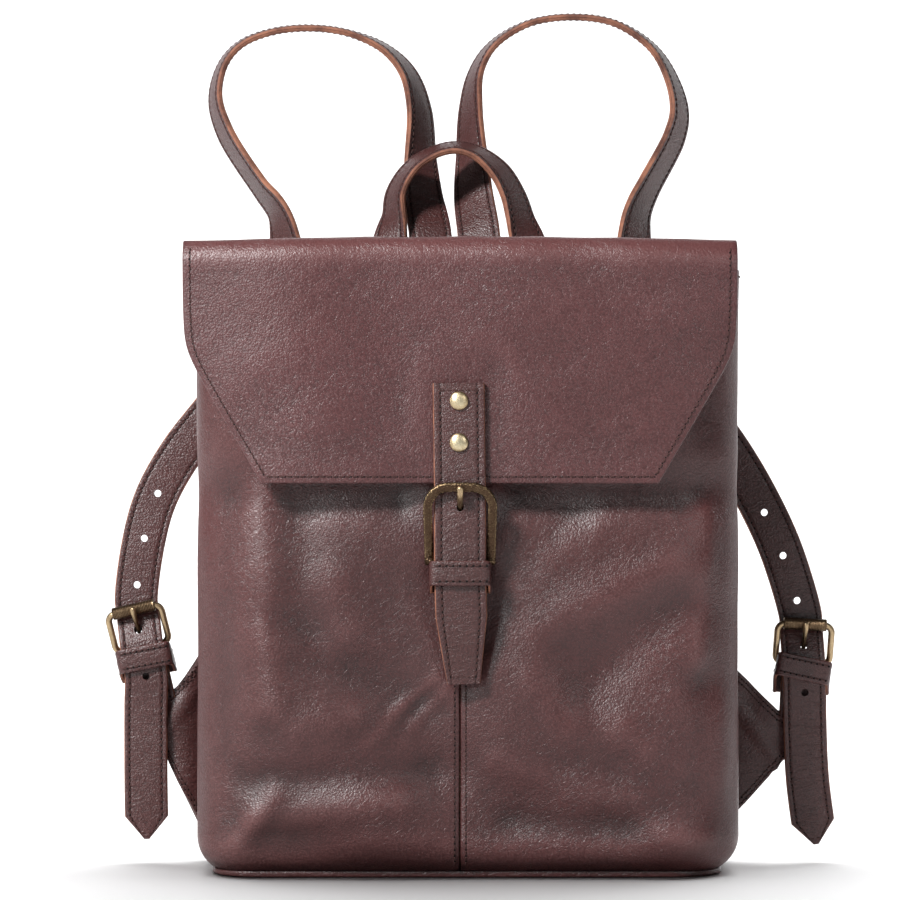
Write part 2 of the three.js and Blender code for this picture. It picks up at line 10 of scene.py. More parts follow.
import bpy
import numpy as np
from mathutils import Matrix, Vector


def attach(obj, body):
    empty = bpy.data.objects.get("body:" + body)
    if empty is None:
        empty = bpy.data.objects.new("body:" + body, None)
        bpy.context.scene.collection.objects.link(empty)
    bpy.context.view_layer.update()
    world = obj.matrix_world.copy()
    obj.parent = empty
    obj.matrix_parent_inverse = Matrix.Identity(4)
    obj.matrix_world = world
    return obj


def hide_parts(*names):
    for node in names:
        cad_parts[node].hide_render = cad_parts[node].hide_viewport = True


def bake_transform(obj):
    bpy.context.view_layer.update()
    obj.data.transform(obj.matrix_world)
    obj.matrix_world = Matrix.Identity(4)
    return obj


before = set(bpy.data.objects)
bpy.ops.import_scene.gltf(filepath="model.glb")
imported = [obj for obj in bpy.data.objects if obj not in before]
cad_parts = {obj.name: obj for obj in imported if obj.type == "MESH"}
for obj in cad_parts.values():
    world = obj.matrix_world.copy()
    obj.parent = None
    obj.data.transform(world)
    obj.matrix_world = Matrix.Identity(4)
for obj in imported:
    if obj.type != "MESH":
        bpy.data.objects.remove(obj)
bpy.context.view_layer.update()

MM = 0.001
FRONT = np.array([0.0, -1.0, 0.0])
BACK = np.array([0.0, 1.0, 0.0])
SHARP = 38  # faces that meet at more than this angle are shaded with an edge between them
GRID, INNER_GRID = 2.6, 4.0  # spacing of the points on the outer sheets and on the inner ones
EDGE_STEPS = np.array((0, 0.25, 0.6, 1.0))  # the points stand closer where a cut edge rounds
ROW_STEP = 1.2  # spacing of the points that a stitch row follows

# ---- sizes ------------------------------------------------------------------------------------
LEATHER, CLOTH = 2.2, 0.9  # thickness of the body and flap leather, and of the lining
HALF, DEPTH = 150.5, 96.0  # the body's half width and its depth
RIM, BACK_TOP = 336.0, 347.0  # upper edges of the front and of the back panel
CORNER_FRONT, CORNER_BACK, ROLL = 36.0, 12.0, 22.0  # radii of the body's soft corners
SEAM_BACK = 34.0  # y of the seams between the sides and the back panel
SEAM_GAP = 0.15  # from the middle of a seam to each of its panels
SEAM_SINK = 0.7  # how far the leather is pulled in at a seam
WALL_FOOT = 3.0  # z where the walls meet the base panel
INSIDE = (0, 0, 150)  # a point inside the bag, which its outer faces face away from
THREAD, PITCH = 0.46, 3.6  # the thread's radius, and the distance between stitches
FLAP_HALF, FLAP_FOOT_HALF = 152.0, 108.0  # half the flap's width over the top and at its foot
FLAP_TOP, FLAP_BOTTOM, FLAP_FRONT, FLAP_REAR = 353.0, 217.0, -60.0, 50.4
STRAP_WIDTH, STRAP_THICK = 24.5, 4.0
HOLE_PITCH, HOLE = 27.0, 2.1  # from one strap hole to the next, and a hole's radius
SEWN_Y = 52.5  # middle of a strap sewn on the back, over the flap's turned-down edge
CLOSURE_AT, CLOSURE_TILT = (0.0, -56.5, 175.0), 16.5  # the closure buckle's bar and its lean
STRAP_TILT, STRAP_WIRE = 14.0, 1.9  # a roller buckle's lean and its wire's radius
# Each side's buckle: its hinge bar, its lean in the front view and how far the strap drifts aside
# in it, and then how far its keeper is skewed (degrees) and has slid up.
SIDES = {
    "left": {"sign": -1, "bar": (-181.5, 44.0, 122.5), "lean": 13.0, "drift": 0.08,
             "skew": 2.0, "slid": 5.5},
    "right": {"sign": 1, "bar": (196.5, 44.0, 113.5), "lean": -3.0, "drift": -0.09,
              "skew": 9.0, "slid": 8.5},
}
# Routes of the straps as x, y, z and roll: from the sewn end to the buckle, the tail below the
# buckle, and the handle's arch.
LOOP = {
    "left": [
        (-16, SEWN_Y, 316, 0), (-16, SEWN_Y, 336, 0), (-16.3, 53, 348.5, 2), (-17, 57, 361, 10),
        (-21, 75, 384, 30), (-22.5, 87, 407, 48), (-23.5, 93, 436, 60), (-30, 95, 457, 70),
        (-43, 96, 471, 78), (-63, 96, 480, 83), (-85, 96, 483.5, 83), (-109, 95, 481.5, 82),
        (-128, 93, 474, 80), (-138.5, 91, 462, 78), (-143, 88, 442, 74), (-137, 84, 421, 70),
        (-116, 75, 388, 70), (-106, 68, 374, 64), (-101, 61, 355, 46), (-100.5, 54.5, 333, 12),
        (-111, 52.5, 300, 0), (-137, 52, 264, 0), (-161, 51.5, 233, 0), (-175, 49, 207, 0),
        (-182, 46.5, 180, 0),
    ],
    "right": [
        (12, SEWN_Y, 316, 0), (12, SEWN_Y, 336, 0), (11.7, 53, 348.5, 2), (11, 57, 361, 10),
        (8, 75, 384, 30), (7, 87, 407, 48), (6.5, 93, 436, 62), (9.5, 95, 457, 74),
        (19, 96, 473, 80), (40, 96, 486, 83), (66, 96, 490, 83), (92, 95, 486, 82),
        (114, 93, 471, 78), (125, 91, 452, 72), (129, 88, 434, 66), (126, 85, 419, 62),
        (110, 75, 388, 60), (104, 69, 374, 54), (101, 61, 355, 40), (99.5, 54.5, 331, 12),
        (112.5, 52.5, 295, 0), (137.5, 52, 260, 0), (159, 51.5, 229, 0), (173.5, 49, 203, 0),
        (185, 46.5, 177, 0),
    ],
}
TAIL = {
    "left": [(-179.5, 38.5, 90, 0), (-179.5, 39, 50, 0), (-179, 40, 13, 0)],
    "right": [(197.5, 38.5, 84, 0), (199, 39, 48, 0), (204, 40, 10, 0)],
}
ARCH = [
    (-40, SEWN_Y, 317, 0), (-40, SEWN_Y, 336, 0), (-40, 52.7, 348.5, 6), (-40, 54.5, 357, 30),
    (-38, 58, 372, 58), (-37, 59.5, 384, 64), (-28, 60.5, 399, 70), (-14, 61, 408, 74),
    (-2, 61, 410.5, 74), (10, 61, 407.5, 70), (23, 60.5, 397, 60), (31, 59.5, 383, 54),
    (35.5, 57, 368, 46), (39, 54.5, 357, 28), (41, 52.7, 348.5, 6), (41, SEWN_Y, 336, 0),
    (41, SEWN_Y, 317, 0),
]
# Paths in y and z from a buckle's hinge bar.
STRAP_THROUGH = [(1.2, 27), (0.8, 21), (-3.3, 11), (-6.7, 2.5), (-6.8, -6), (-6.5, -17)]
CLOSURE_PRONG = [(-2, 3.4), (-3.1, 24.5), (-14.3, 36.6), (-15.6, 41)]
STRAP_PRONG = [(-0.9, 3.2), (-1.2, 5.5), (-10.4, 20), (-10.9, 24)]
# Soft relief of the front: a ridge or, with a negative height, a hollow along each line, as
# x and z of its two ends, half its width, and its height.
RELIEF = [
    (-110, 212, -107, 96, 13, 3.4), (-90, 196, -78, 120, 16, -2.2), (-112, 33, -34, 43, 10, 2.6),
    (-120, 56, -18, 60, 11, -2.8), (-128, 18, -104, 46, 8, 2.2), (-72, 160, -62, 140, 17, 2.8),
    (-58, 112, -24, 98, 13, -2.2), (-100, 142, -84, 138, 10, -1.6), (-26, 84, -8, 104, 3.5, 0.8),
    (-36, 92, -14, 110, 3.5, 0.8), (-52, 74, -30, 96, 4, 0.6), (112, 172, 42, 134, 14, 3.2),
    (120, 150, 66, 108, 13, -2.4), (86, 82, 98, 72, 11, 2.0), (104, 26, 130, 18, 9, 2.4),
    (130, 104, 126, 52, 15, -3.4), (-140, 150, -136, 70, 12, -1.6), (20, 64, 92, 44, 10, 1.9),
    (28, 33, 98, 26, 9, -1.7), (-92, 84, -60, 90, 10, 1.6), (60, 200, 30, 172, 10, -1.6),
    (40, 112, 56, 86, 12, 1.6), (132, 200, 128, 120, 8, 1.8),
]


# ---- curves -----------------------------------------------------------------------------------
def rounded(corners, radii, closed=False, steps=12):
    """A 2-D line through the corners, each rounded to its radius, as an array of points."""
    corners = [np.array(c, float) for c in corners]
    points = []
    for i, (corner, radius) in enumerate(zip(corners, radii)):
        if radius == 0 or (not closed and i in (0, len(corners) - 1)):
            points.append(corner)
            continue
        to_last = corners[i - 1] - corner
        to_next = corners[(i + 1) % len(corners)] - corner
        to_last /= np.linalg.norm(to_last)
        to_next /= np.linalg.norm(to_next)
        half = math.acos(np.clip(to_last @ to_next, -1, 1)) / 2
        middle = (to_last + to_next) / np.linalg.norm(to_last + to_next)
        centre = corner + middle * radius / math.sin(half)
        start = corner + to_last * radius / math.tan(half) - centre
        end = corner + to_next * radius / math.tan(half) - centre
        sweep = math.pi - 2 * half
        for q in np.linspace(0, 1, steps + 1):
            mixed = start * math.sin((1 - q) * sweep) + end * math.sin(q * sweep)
            points.append(centre + mixed / math.sin(sweep))
    return np.array(points)


def lengths(points):
    """The distance along a line to each of its points."""
    return np.append(0, np.cumsum(np.linalg.norm(np.diff(points, axis=0), axis=1)))


def sample_with(along, values, distances):
    """Rows of values, given at the distances `along`, read at other distances."""
    return np.column_stack([np.interp(distances, along, column) for column in values.T])


def sample(points, distances):
    """The points of a line at these distances along it."""
    return sample_with(lengths(points), points, distances)


def unit(vectors):
    """The vectors, each made one unit long."""
    return vectors / np.maximum(np.linalg.norm(vectors, axis=-1, keepdims=True), 1e-9)


def catmull(points, steps=14):
    """A centripetal Catmull-Rom curve through the first three columns; the others run straight."""
    points = np.array(points, float)
    place, rest = points[:, :3], points[:, 3:]
    padded = np.vstack([2 * place[0] - place[1], place, 2 * place[-1] - place[-2]])
    rows = []
    for i in range(len(place) - 1):
        p = padded[i : i + 4]
        gap = np.linalg.norm(np.diff(p, axis=0), axis=1) ** 0.5
        first = (p[1] - p[0]) / gap[0] - (p[2] - p[0]) / (gap[0] + gap[1]) + (p[2] - p[1]) / gap[1]
        last = (p[2] - p[1]) / gap[1] - (p[3] - p[1]) / (gap[1] + gap[2]) + (p[3] - p[2]) / gap[2]
        first, last = first * gap[1], last * gap[1]
        t = np.linspace(0, 1, steps, endpoint=False)[:, None]
        at = (2 * t**3 - 3 * t**2 + 1) * p[1] + (t**3 - 2 * t**2 + t) * first
        at += (3 * t**2 - 2 * t**3) * p[2] + (t**3 - t**2) * last
        rows.append(np.hstack([at, rest[i] + t * (rest[i + 1] - rest[i])]))
    return np.vstack(rows + [points[-1:]])


def smooth(x, low, high):
    """0 below low, 1 above high, and a soft step between."""
    t = np.clip((x - low) / (high - low), 0, 1)
    return t * t * (3 - 2 * t)


def ripple(u, v, wavelength, seed, waves=9):
    """Soft, repeatable unevenness of about unit height over a surface with coordinates u and v."""
    rng = np.random.RandomState(seed)
    total = np.zeros(np.broadcast(u, v).shape)
    for _ in range(waves):
        turn, phase = rng.uniform(0, 2 * math.pi, 2)
        length = wavelength * rng.uniform(0.7, 1.5)
        total += np.sin(2 * math.pi * (u * math.cos(turn) + v * math.sin(turn)) / length + phase)
    return total / math.sqrt(waves)


def ridge(x, z, line):
    """The height at x, z of one soft ridge of RELIEF."""
    x0, z0, x1, z1, width, height = line
    dx, dz = x1 - x0, z1 - z0
    t = np.clip(((x - x0) * dx + (z - z0) * dz) / (dx * dx + dz * dz), 0, 1)
    away = np.hypot(x - x0 - t * dx, z - z0 - t * dz)
    return height * np.exp(-((away / width) ** 2))


# ---- meshes -----------------------------------------------------------------------------------
def mesh_object(name, points, faces, materials, indices=None, wear_and_shade=None,
                sharp=SHARP):
    """An object from points in millimetres, with smooth shading up to the sharp angle."""
    mesh = bpy.data.meshes.new(name)
    mesh.from_pydata((np.array(points, float) * MM).tolist(), [], faces)
    for material in materials:
        mesh.materials.append(material)
    if indices is not None:
        mesh.polygons.foreach_set("material_index", np.array(indices, np.int32))
    # The attribute holds wear, and as negative values painted shade for hollows and needle holes.
    attribute = mesh.attributes.new("wear_and_shade", "FLOAT", "POINT")
    values = np.zeros(len(points)) if wear_and_shade is None else np.array(wear_and_shade, float).ravel()
    attribute.data.foreach_set("value", values.astype(np.float32))
    mesh.polygons.foreach_set("use_smooth", [True] * len(mesh.polygons))
    mesh.set_sharp_from_angle(angle=math.radians(sharp))
    made = bpy.data.objects.new(name, mesh)
    bpy.context.scene.collection.objects.link(made)
    return made


def join_parts(parts):
    """One list of points, faces, material indices and wear from several."""
    points, faces, indices, wear_and_shade = [], [], [], []
    for part in parts:
        offset = len(points)
        points += list(part["points"])
        faces += [tuple(i + offset for i in face) for face in part["faces"]]
        indices += list(part.get("indices") or [0] * len(part["faces"]))
        wear_and_shade += list(part.get("wear_and_shade", np.zeros(len(part["points"]))))
    return {"points": points, "faces": faces, "indices": indices, "wear_and_shade": wear_and_shade}


def facing_out(part):
    """The same closed part, with its faces turned round if they face inwards."""
    points, faces = np.array(part["points"], float), part["faces"]
    corners = np.array([(f[0], f[k], f[k + 1]) for f in faces for k in range(1, len(f) - 1)])
    a, b, c = (points[corners[:, k]] for k in range(3))
    if np.sum(a * np.cross(b, c)) >= 0:
        return part
    return dict(part, faces=[tuple(face)[::-1] for face in faces])


def build(name, parts, materials, sharp=SHARP):
    """One object from several closed parts."""
    all_parts = join_parts([facing_out(part) for part in parts])
    return mesh_object(name, all_parts["points"], all_parts["faces"], materials,
                       all_parts["indices"], all_parts["wear_and_shade"], sharp)


def lines(start, end, step, edge=EDGE_STEPS):
    """Grid lines from start to end: close together at each end, where the leather's edge rounds."""
    between = end - start - 2 * edge[-1]
    inner = np.arange(1, max(2, int(between / step))) * step
    inner = inner / (inner[-1] + step) * between + start + edge[-1]
    return np.concatenate([start + edge, inner, (end - edge)[::-1]])


def grid_normals(grid, away):
    """Unit normals of a grid of points, facing away from a point."""
    normals = unit(np.cross(np.gradient(grid, axis=0), np.gradient(grid, axis=1)))
    outward = np.sum(normals * (grid - np.array(away, float)))
    return normals if outward > 0 else -normals


class Sheet:
    """A sheet of leather or cloth: its outer face as a grid of points over coordinates u and v."""

    def __init__(self, u, v, grid, away, thickness, edge=0.9, loop=False):
        self.u, self.v, self.grid = u, v, grid
        self.thickness, self.loop = thickness, loop
        self.normals = grid_normals(grid, away)
        borders = [grid[:1], grid[-1:]]
        if not loop:
            borders += [grid[:, :1], grid[:, -1:]]
        self.to_edge = np.min([np.linalg.norm(grid - b, axis=2) for b in borders], axis=0)
        short = np.clip(edge - self.to_edge, 0, edge)
        self.drop = edge - np.sqrt(np.maximum(edge**2 - short**2, 0))

    def at(self, u, v, lift=0.0):
        """Points on the outer face, and the normals there."""
        i = np.interp(v, self.v, np.arange(len(self.v)))
        j = np.interp(u, self.u, np.arange(len(self.u)))
        i0 = np.clip(i.astype(int), 0, len(self.v) - 2)
        j0 = np.clip(j.astype(int), 0, len(self.u) - 2)
        p, q = (i - i0)[:, None], (j - j0)[:, None]

        def mixed(field):
            low = field[i0, j0] * (1 - q) + field[i0, j0 + 1] * q
            high = field[i0 + 1, j0] * (1 - q) + field[i0 + 1, j0 + 1] * q
            return low * (1 - p) + high * p

        normals = unit(mixed(self.normals))
        return mixed(self.grid) + normals * lift, normals

    def part(self, relief=0.35):
        """The sheet as a closed solid whose cut edge has the second material.

        `relief` says how much ridges are marked as worn, and how much hollows are darkened as painted
        shade.
        """
        rows, cols = self.grid.shape[:2]
        outer = self.grid - self.normals * self.drop[..., None]
        inner = self.grid - self.normals * (self.thickness - self.drop)[..., None]
        points = np.vstack([outer.reshape(-1, 3), inner.reshape(-1, 3)])
        index = np.arange(rows * cols).reshape(rows, cols)
        if self.loop:
            index = np.hstack([index, index[:, :1]])
        quads = np.stack([index[:-1, :-1], index[:-1, 1:], index[1:, 1:], index[1:, :-1]], -1)
        quads = quads.reshape(-1, 4)
        under = quads[:, ::-1] + rows * cols
        rims = [index[0], index[-1][::-1]]
        if not self.loop:
            rims += [index[:, -1], index[:, 0][::-1]]
        sides = []
        for rim in rims:
            for a, b in zip(rim[:-1], rim[1:]):
                sides.append((b, a, a + rows * cols, b + rows * cols))
        faces = quads.tolist() + under.tolist() + [tuple(int(i) for i in s) for s in sides]
        indices = [0] * (2 * len(quads)) + [1] * len(sides)
        near = [np.roll(self.grid, shift, axis) for axis in (0, 1) for shift in (3, -3)]
        bend = self.grid - (near[0] + near[1] + near[2] + near[3]) / 4
        raised = np.sum(bend * self.normals, axis=2) * relief
        for border in (raised[:4], raised[-4:], raised[:, :4], raised[:, -4:]):
            border[:] = 0
        # Hollows get negative values, painted shade; ridges and the cut edges are marked as worn.
        wear_and_shade = np.clip(raised, -0.6, 0.5) + 0.3 * np.exp(-((self.to_edge / 0.7) ** 2))
        return {"points": points, "faces": faces, "indices": indices,
                "wear_and_shade": np.concatenate([wear_and_shade.ravel(), wear_and_shade.ravel() * 0])}


def sweep(centres, across, normals, section, closed=False, scale=None, indices=None, wear_and_shade=None):
    """Carries a section (across, normal) along a row of frames; caps its ends unless it's closed."""
    section = np.array(section, float)
    count, sides = len(centres), len(section)
    scale = np.ones(count) if scale is None else scale
    points = (centres[:, None] + across[:, None] * section[None, :, :1] * scale[:, None, None]
              + normals[:, None] * section[None, :, 1:]).reshape(-1, 3)
    faces, materials = [], []
    for i in range(count if closed else count - 1):
        for k in range(sides):
            a, b = i * sides + k, i * sides + (k + 1) % sides
            step = sides if i < count - 1 else sides - count * sides
            faces.append((a, b, b + step, a + step))
            materials.append(indices[k] if indices is not None else 0)
    if not closed:
        last = sides * (count - 1)
        faces += [tuple(range(sides))[::-1], tuple(range(last, last + sides))]
        materials += [1 if indices is not None else 0] * 2
    shade = np.zeros(sides) if wear_and_shade is None else wear_and_shade
    return {"points": points, "faces": faces, "indices": materials, "wear_and_shade": np.tile(shade, count)}


def tube(path, radii, binormal, sides=14, closed=False):
    """A round bar along a flat path; binormal is square to the path's plane."""
    path = np.array(path, float)
    if closed:
        along = unit(np.roll(path, -1, 0) - np.roll(path, 1, 0))
    else:
        along = unit(np.gradient(path, axis=0))
    out = unit(np.cross(binormal, along))
    turn = np.linspace(0, 2 * math.pi, sides, endpoint=False)
    ring = np.column_stack([np.cos(turn), np.sin(turn)])
    radii = np.ones(len(path)) * radii
    points = (path[:, None] + out[:, None] * (ring[None, :, :1] * radii[:, None, None])
              + np.array(binormal, float) * (ring[None, :, 1:] * radii[:, None, None]))
    made = sweep(path, out, np.tile(np.array(binormal, float), (len(path), 1)), ring, closed)
    made["points"] = points.reshape(-1, 3)
    return made


def turned(profile, sides=28):
    """A solid of revolution about X from its (x, radius) profile; radius 0 closes it."""
    turn = np.linspace(0, 2 * math.pi, sides, endpoint=False)
    points, faces, rows = [], [], []
    for x, radius in profile:
        if radius < 1e-6:
            rows.append([len(points)])
            points.append((x, 0, 0))
        else:
            rows.append(list(range(len(points), len(points) + sides)))
            points += [(x, radius * math.cos(a), radius * math.sin(a)) for a in turn]
    closed_tube = profile[0][1] > 1e-6
    pairs = list(zip(rows, rows[1:])) + ([(rows[-1], rows[0])] if closed_tube else [])
    for a, b in pairs:
        for k in range(sides):
            n = (k + 1) % sides
            if len(a) == 1:
                faces.append((a[0], b[n], b[k]))
            elif len(b) == 1:
                faces.append((a[k], a[n], b[0]))
            else:
                faces.append((a[k], a[n], b[n], b[k]))
    return {"points": np.array(points, float), "faces": faces}


def about_y(degrees):
    """The matrix that turns rows of points about Y: a positive angle raises the +X side."""
    turn = math.radians(degrees)
    return np.array([[math.cos(turn), 0, math.sin(turn)], [0, 1, 0],
                     [-math.sin(turn), 0, math.cos(turn)]])


class Place:
    """A buckle's own axes: its hinge bar at the origin, leaning in the front view."""

    def __init__(self, at, lean=0.0):
        self.at = np.array(at, float)
        self.axes = about_y(lean)

    def points(self, local):
        """Points given in the buckle's axes, in the frame's axes."""
        return np.array(local, float) @ self.axes + self.at

    def part(self, part):
        """A part made in the buckle's axes, in the frame's axes."""
        return dict(part, points=self.points(part["points"]))


def tipped(points, degrees):
    """Turns points about X: a positive angle leans the top forward."""
    turn = math.radians(degrees)
    matrix = np.array([[1, 0, 0], [0, math.cos(turn), math.sin(turn)],
                       [0, -math.sin(turn), math.cos(turn)]])
    return np.array(points, float) @ matrix


def cut(target, parts, material):
    """Cuts parts out of an object, and gives the cut faces a material."""
    cutter = build("cutter", parts, [material])
    modifier = target.modifiers.new("cut", "BOOLEAN")
    modifier.operation = "DIFFERENCE"
    modifier.solver = "EXACT"
    modifier.material_mode = "TRANSFER"
    modifier.object = cutter
    evaluated = target.evaluated_get(bpy.context.evaluated_depsgraph_get())
    mesh = bpy.data.meshes.new_from_object(evaluated)
    target.modifiers.clear()
    target.data = mesh
    bpy.data.objects.remove(cutter)
    mesh.set_sharp_from_angle(angle=math.radians(SHARP))


# ---- stitches ---------------------------------------------------------------------------------
def stitch_shape(half, radius, gap):
    """One thread lying along X, with a near-black disc at its far end, painted shade for the needle
    hole that it dives into.
    """
    dip = 0.3
    points = [(-half, 0, -dip)]
    for s, thick in ((-0.8, 0.75), (0, 1.0), (0.8, 0.75)):
        for k in range(6):
            turn = math.pi * k / 3
            points.append((s * half, thick * radius * math.cos(turn),
                           thick * radius * math.sin(turn) + dip * (1 - s * s)))
    points.append((half, 0, -dip))
    tail = len(points) - 1
    faces = []
    for k in range(6):
        after = (k + 1) % 6
        faces += [(0, 1 + after, 1 + k), (13 + k, 13 + after, tail)]
        for ring in (1, 7):
            faces.append((ring + k, ring + after, ring + 6 + after, ring + 6 + k))
    # A flat disc whose marks turn it near black: painted shade where the needle hole would be.
    hole = len(points)
    for k in range(8):
        turn = math.pi * k / 4
        points.append((half + gap + 1.5 * radius * math.cos(turn),
                       1.35 * radius * math.sin(turn), 0.0))
    points += [(half + gap, 0, 0.2), (half + gap, 0, -0.4)]
    for k in range(8):
        after = (k + 1) % 8
        faces += [(hole + k, hole + after, hole + 8), (hole + after, hole + k, hole + 9)]
    return np.array(points), faces, np.array([0.0] * hole + [-1.0] * 10)


def stitch_part(points, normals, pitch=PITCH, radius=THREAD, skip=None):
    """A row of short threads along a line: each rises from one hole and dives into the next."""
    along = lengths(points)
    count = max(1, int(round(along[-1] / pitch)))
    start, middle, end = ((np.arange(count) + part) * along[-1] / count for part in (0.2, 0.5, 0.8))
    centres = sample(points, middle)
    up = unit(sample_with(along, normals, middle))
    forward = unit(sample(points, end) - sample(points, start))
    if skip is not None:
        keep = ~skip(centres)
        centres, up, forward = centres[keep], up[keep], forward[keep]
    slant = 0.09
    forward = unit(forward + slant * np.cross(forward, up))
    side = unit(np.cross(forward, up))
    shape, shape_faces, shade = stitch_shape(0.37 * pitch, radius, 0.13 * pitch)
    verts = (centres[:, None] + forward[:, None] * shape[None, :, :1]
             + side[:, None] * shape[None, :, 1:2] + up[:, None] * shape[None, :, 2:])
    size = len(shape)
    faces = [tuple(i + size * n for i in face) for n in range(len(centres)) for face in shape_faces]
    return {"points": verts.reshape(-1, 3), "faces": faces, "wear_and_shade": np.tile(shade, len(centres))}


def row_on(sheet, u, v, skip=None):
    """A stitch row on a sheet through the coordinates u and v, either of which can stay the same."""
    u, v = np.broadcast_arrays(np.asarray(u, float), np.asarray(v, float))
    points, normals = sheet.at(u, v, -0.05)
    return stitch_part(points, normals, skip=skip)


# ---- straps -----------------------------------------------------------------------------------
class Strap:
    """A two-layer stitched strap along a route of x, y, z and roll.

    `taper` is how long its narrowing end is, `tip` how wide that end is, and `channel` how far its
    stitches lie from its edges.
    """

    def __init__(self, route, width, thickness=STRAP_THICK, side=1, step=3.0, taper=0, tip=3.0,
                 channel=3.1):
        dense = catmull(route)
        line = dense[:, :3]
        total = lengths(line)[-1]
        stations = np.linspace(0, total, int(total / step) + 1)
        if taper:
            stations = np.union1d(stations, total - np.linspace(0, taper, 8))
        rows = sample_with(lengths(line), dense, stations)
        self.along = stations
        self.total = total
        self.centres = rows[:, :3]
        ahead = sample(line, np.clip(stations + 0.5, 0, total))
        behind = sample(line, np.clip(stations - 0.5, 0, total))
        forward = unit(ahead - behind)
        roll = np.radians(rows[:, 3:])
        level = np.zeros(len(stations))
        flat = unit(np.column_stack([forward[:, 2], level, -forward[:, 0]]) * side)
        across = flat * np.cos(roll) + BACK * np.sin(roll)
        across = unit(across - forward * np.sum(across * forward, axis=1)[:, None])
        self.across = across
        self.normals = np.cross(forward, across)
        self.half = width / 2
        self.thickness = thickness
        self.channel = channel
        left = np.clip((total - stations) / taper, 0, 1) if taper else np.ones(len(stations))
        self.scale = (tip + (width - tip) * left) / width
        self.taper = taper

    def section(self):
        """The strap's section, the material of each of its sides, and its marks: lighter at the worn
        edges, darker along the stitch grooves.
        """
        half, mid, c = self.half, self.thickness / 2, self.channel
        rounding, groove, crown = 0.8, 0.38, 0.25
        inset = np.array([0, 0.45, 0.8, 1.6, c - 0.8, c - 0.35, c, c + 0.35, c + 0.8, c + 2, half])
        short = np.clip(rounding - inset, 0, rounding)
        height = mid - rounding + np.sqrt(np.maximum(rounding**2 - short**2, 0))
        height = height - groove * np.exp(-(((inset - c) / 0.55) ** 2))
        height = height - crown + crown * inset / half
        across = np.concatenate([inset - half, (half - inset)[-2::-1]])
        face = list(zip(across, np.concatenate([height, height[-2::-1]])))
        edge = [(half + 0.12, 0.6), (half + 0.1, 0.2), (half - 0.3, 0), (half + 0.1, -0.2),
                (half + 0.12, -0.6)]
        section = face + edge + [(-x, -y) for x, y in face] + [(-x, -y) for x, y in edge]
        kinds = [1] + [0] * (len(face) - 3) + [1] * (len(edge) + 2)
        from_edge = half - np.abs(across)
        wear_and_shade = 0.35 * np.exp(-((from_edge / 0.5) ** 2))
        # Darker along the stitch grooves.
        wear_and_shade = wear_and_shade - 0.25 * np.exp(-(((from_edge - c) / 0.5) ** 2))
        shade = np.concatenate([wear_and_shade, np.zeros(len(edge))])
        return section, kinds * 2, np.tile(shade, 2)

    def part(self):
        """The strap as a closed solid whose cut edges have the second material."""
        section, kinds, wear_and_shade = self.section()
        return sweep(self.centres, self.across, self.normals, section, scale=self.scale,
                     indices=kinds, wear_and_shade=wear_and_shade)

    def line(self, distances, across, lift, face):
        """Points along the strap's face, `across` from its middle, with normals."""
        middle = sample_with(self.along, self.centres, distances)
        side = unit(sample_with(self.along, self.across, distances))
        up = unit(sample_with(self.along, self.normals, distances)) * face
        scale = np.interp(distances, self.along, self.scale)[:, None]
        height = self.thickness / 2 + lift
        return middle + side * scale * across + up * height, up

    def stitch_rows(self, face, end=3.5):
        """Stitches down both edges of one face, and across the strap's end if it tapers."""
        stop = self.total - end
        distances = np.arange(2.0, stop, ROW_STEP)
        rows = []
        for sign in (-1, 1):
            points, up = self.line(distances, sign * (self.half - self.channel), -0.42, face)
            rows.append(stitch_part(points, up))
        if self.taper:
            rows.append(self.cross_row(stop, -0.4, face, 3.0))
        return rows

    def cross_row(self, distance, lift, face, pitch=PITCH):
        """A stitch row straight across one face."""
        reach = self.half - self.channel
        start, up = self.line(np.array([distance, distance]), reach, lift, face)
        end, _ = self.line(np.array([distance, distance]), -reach, lift, face)
        return stitch_part(np.array([start[0], end[0]]), up, pitch)


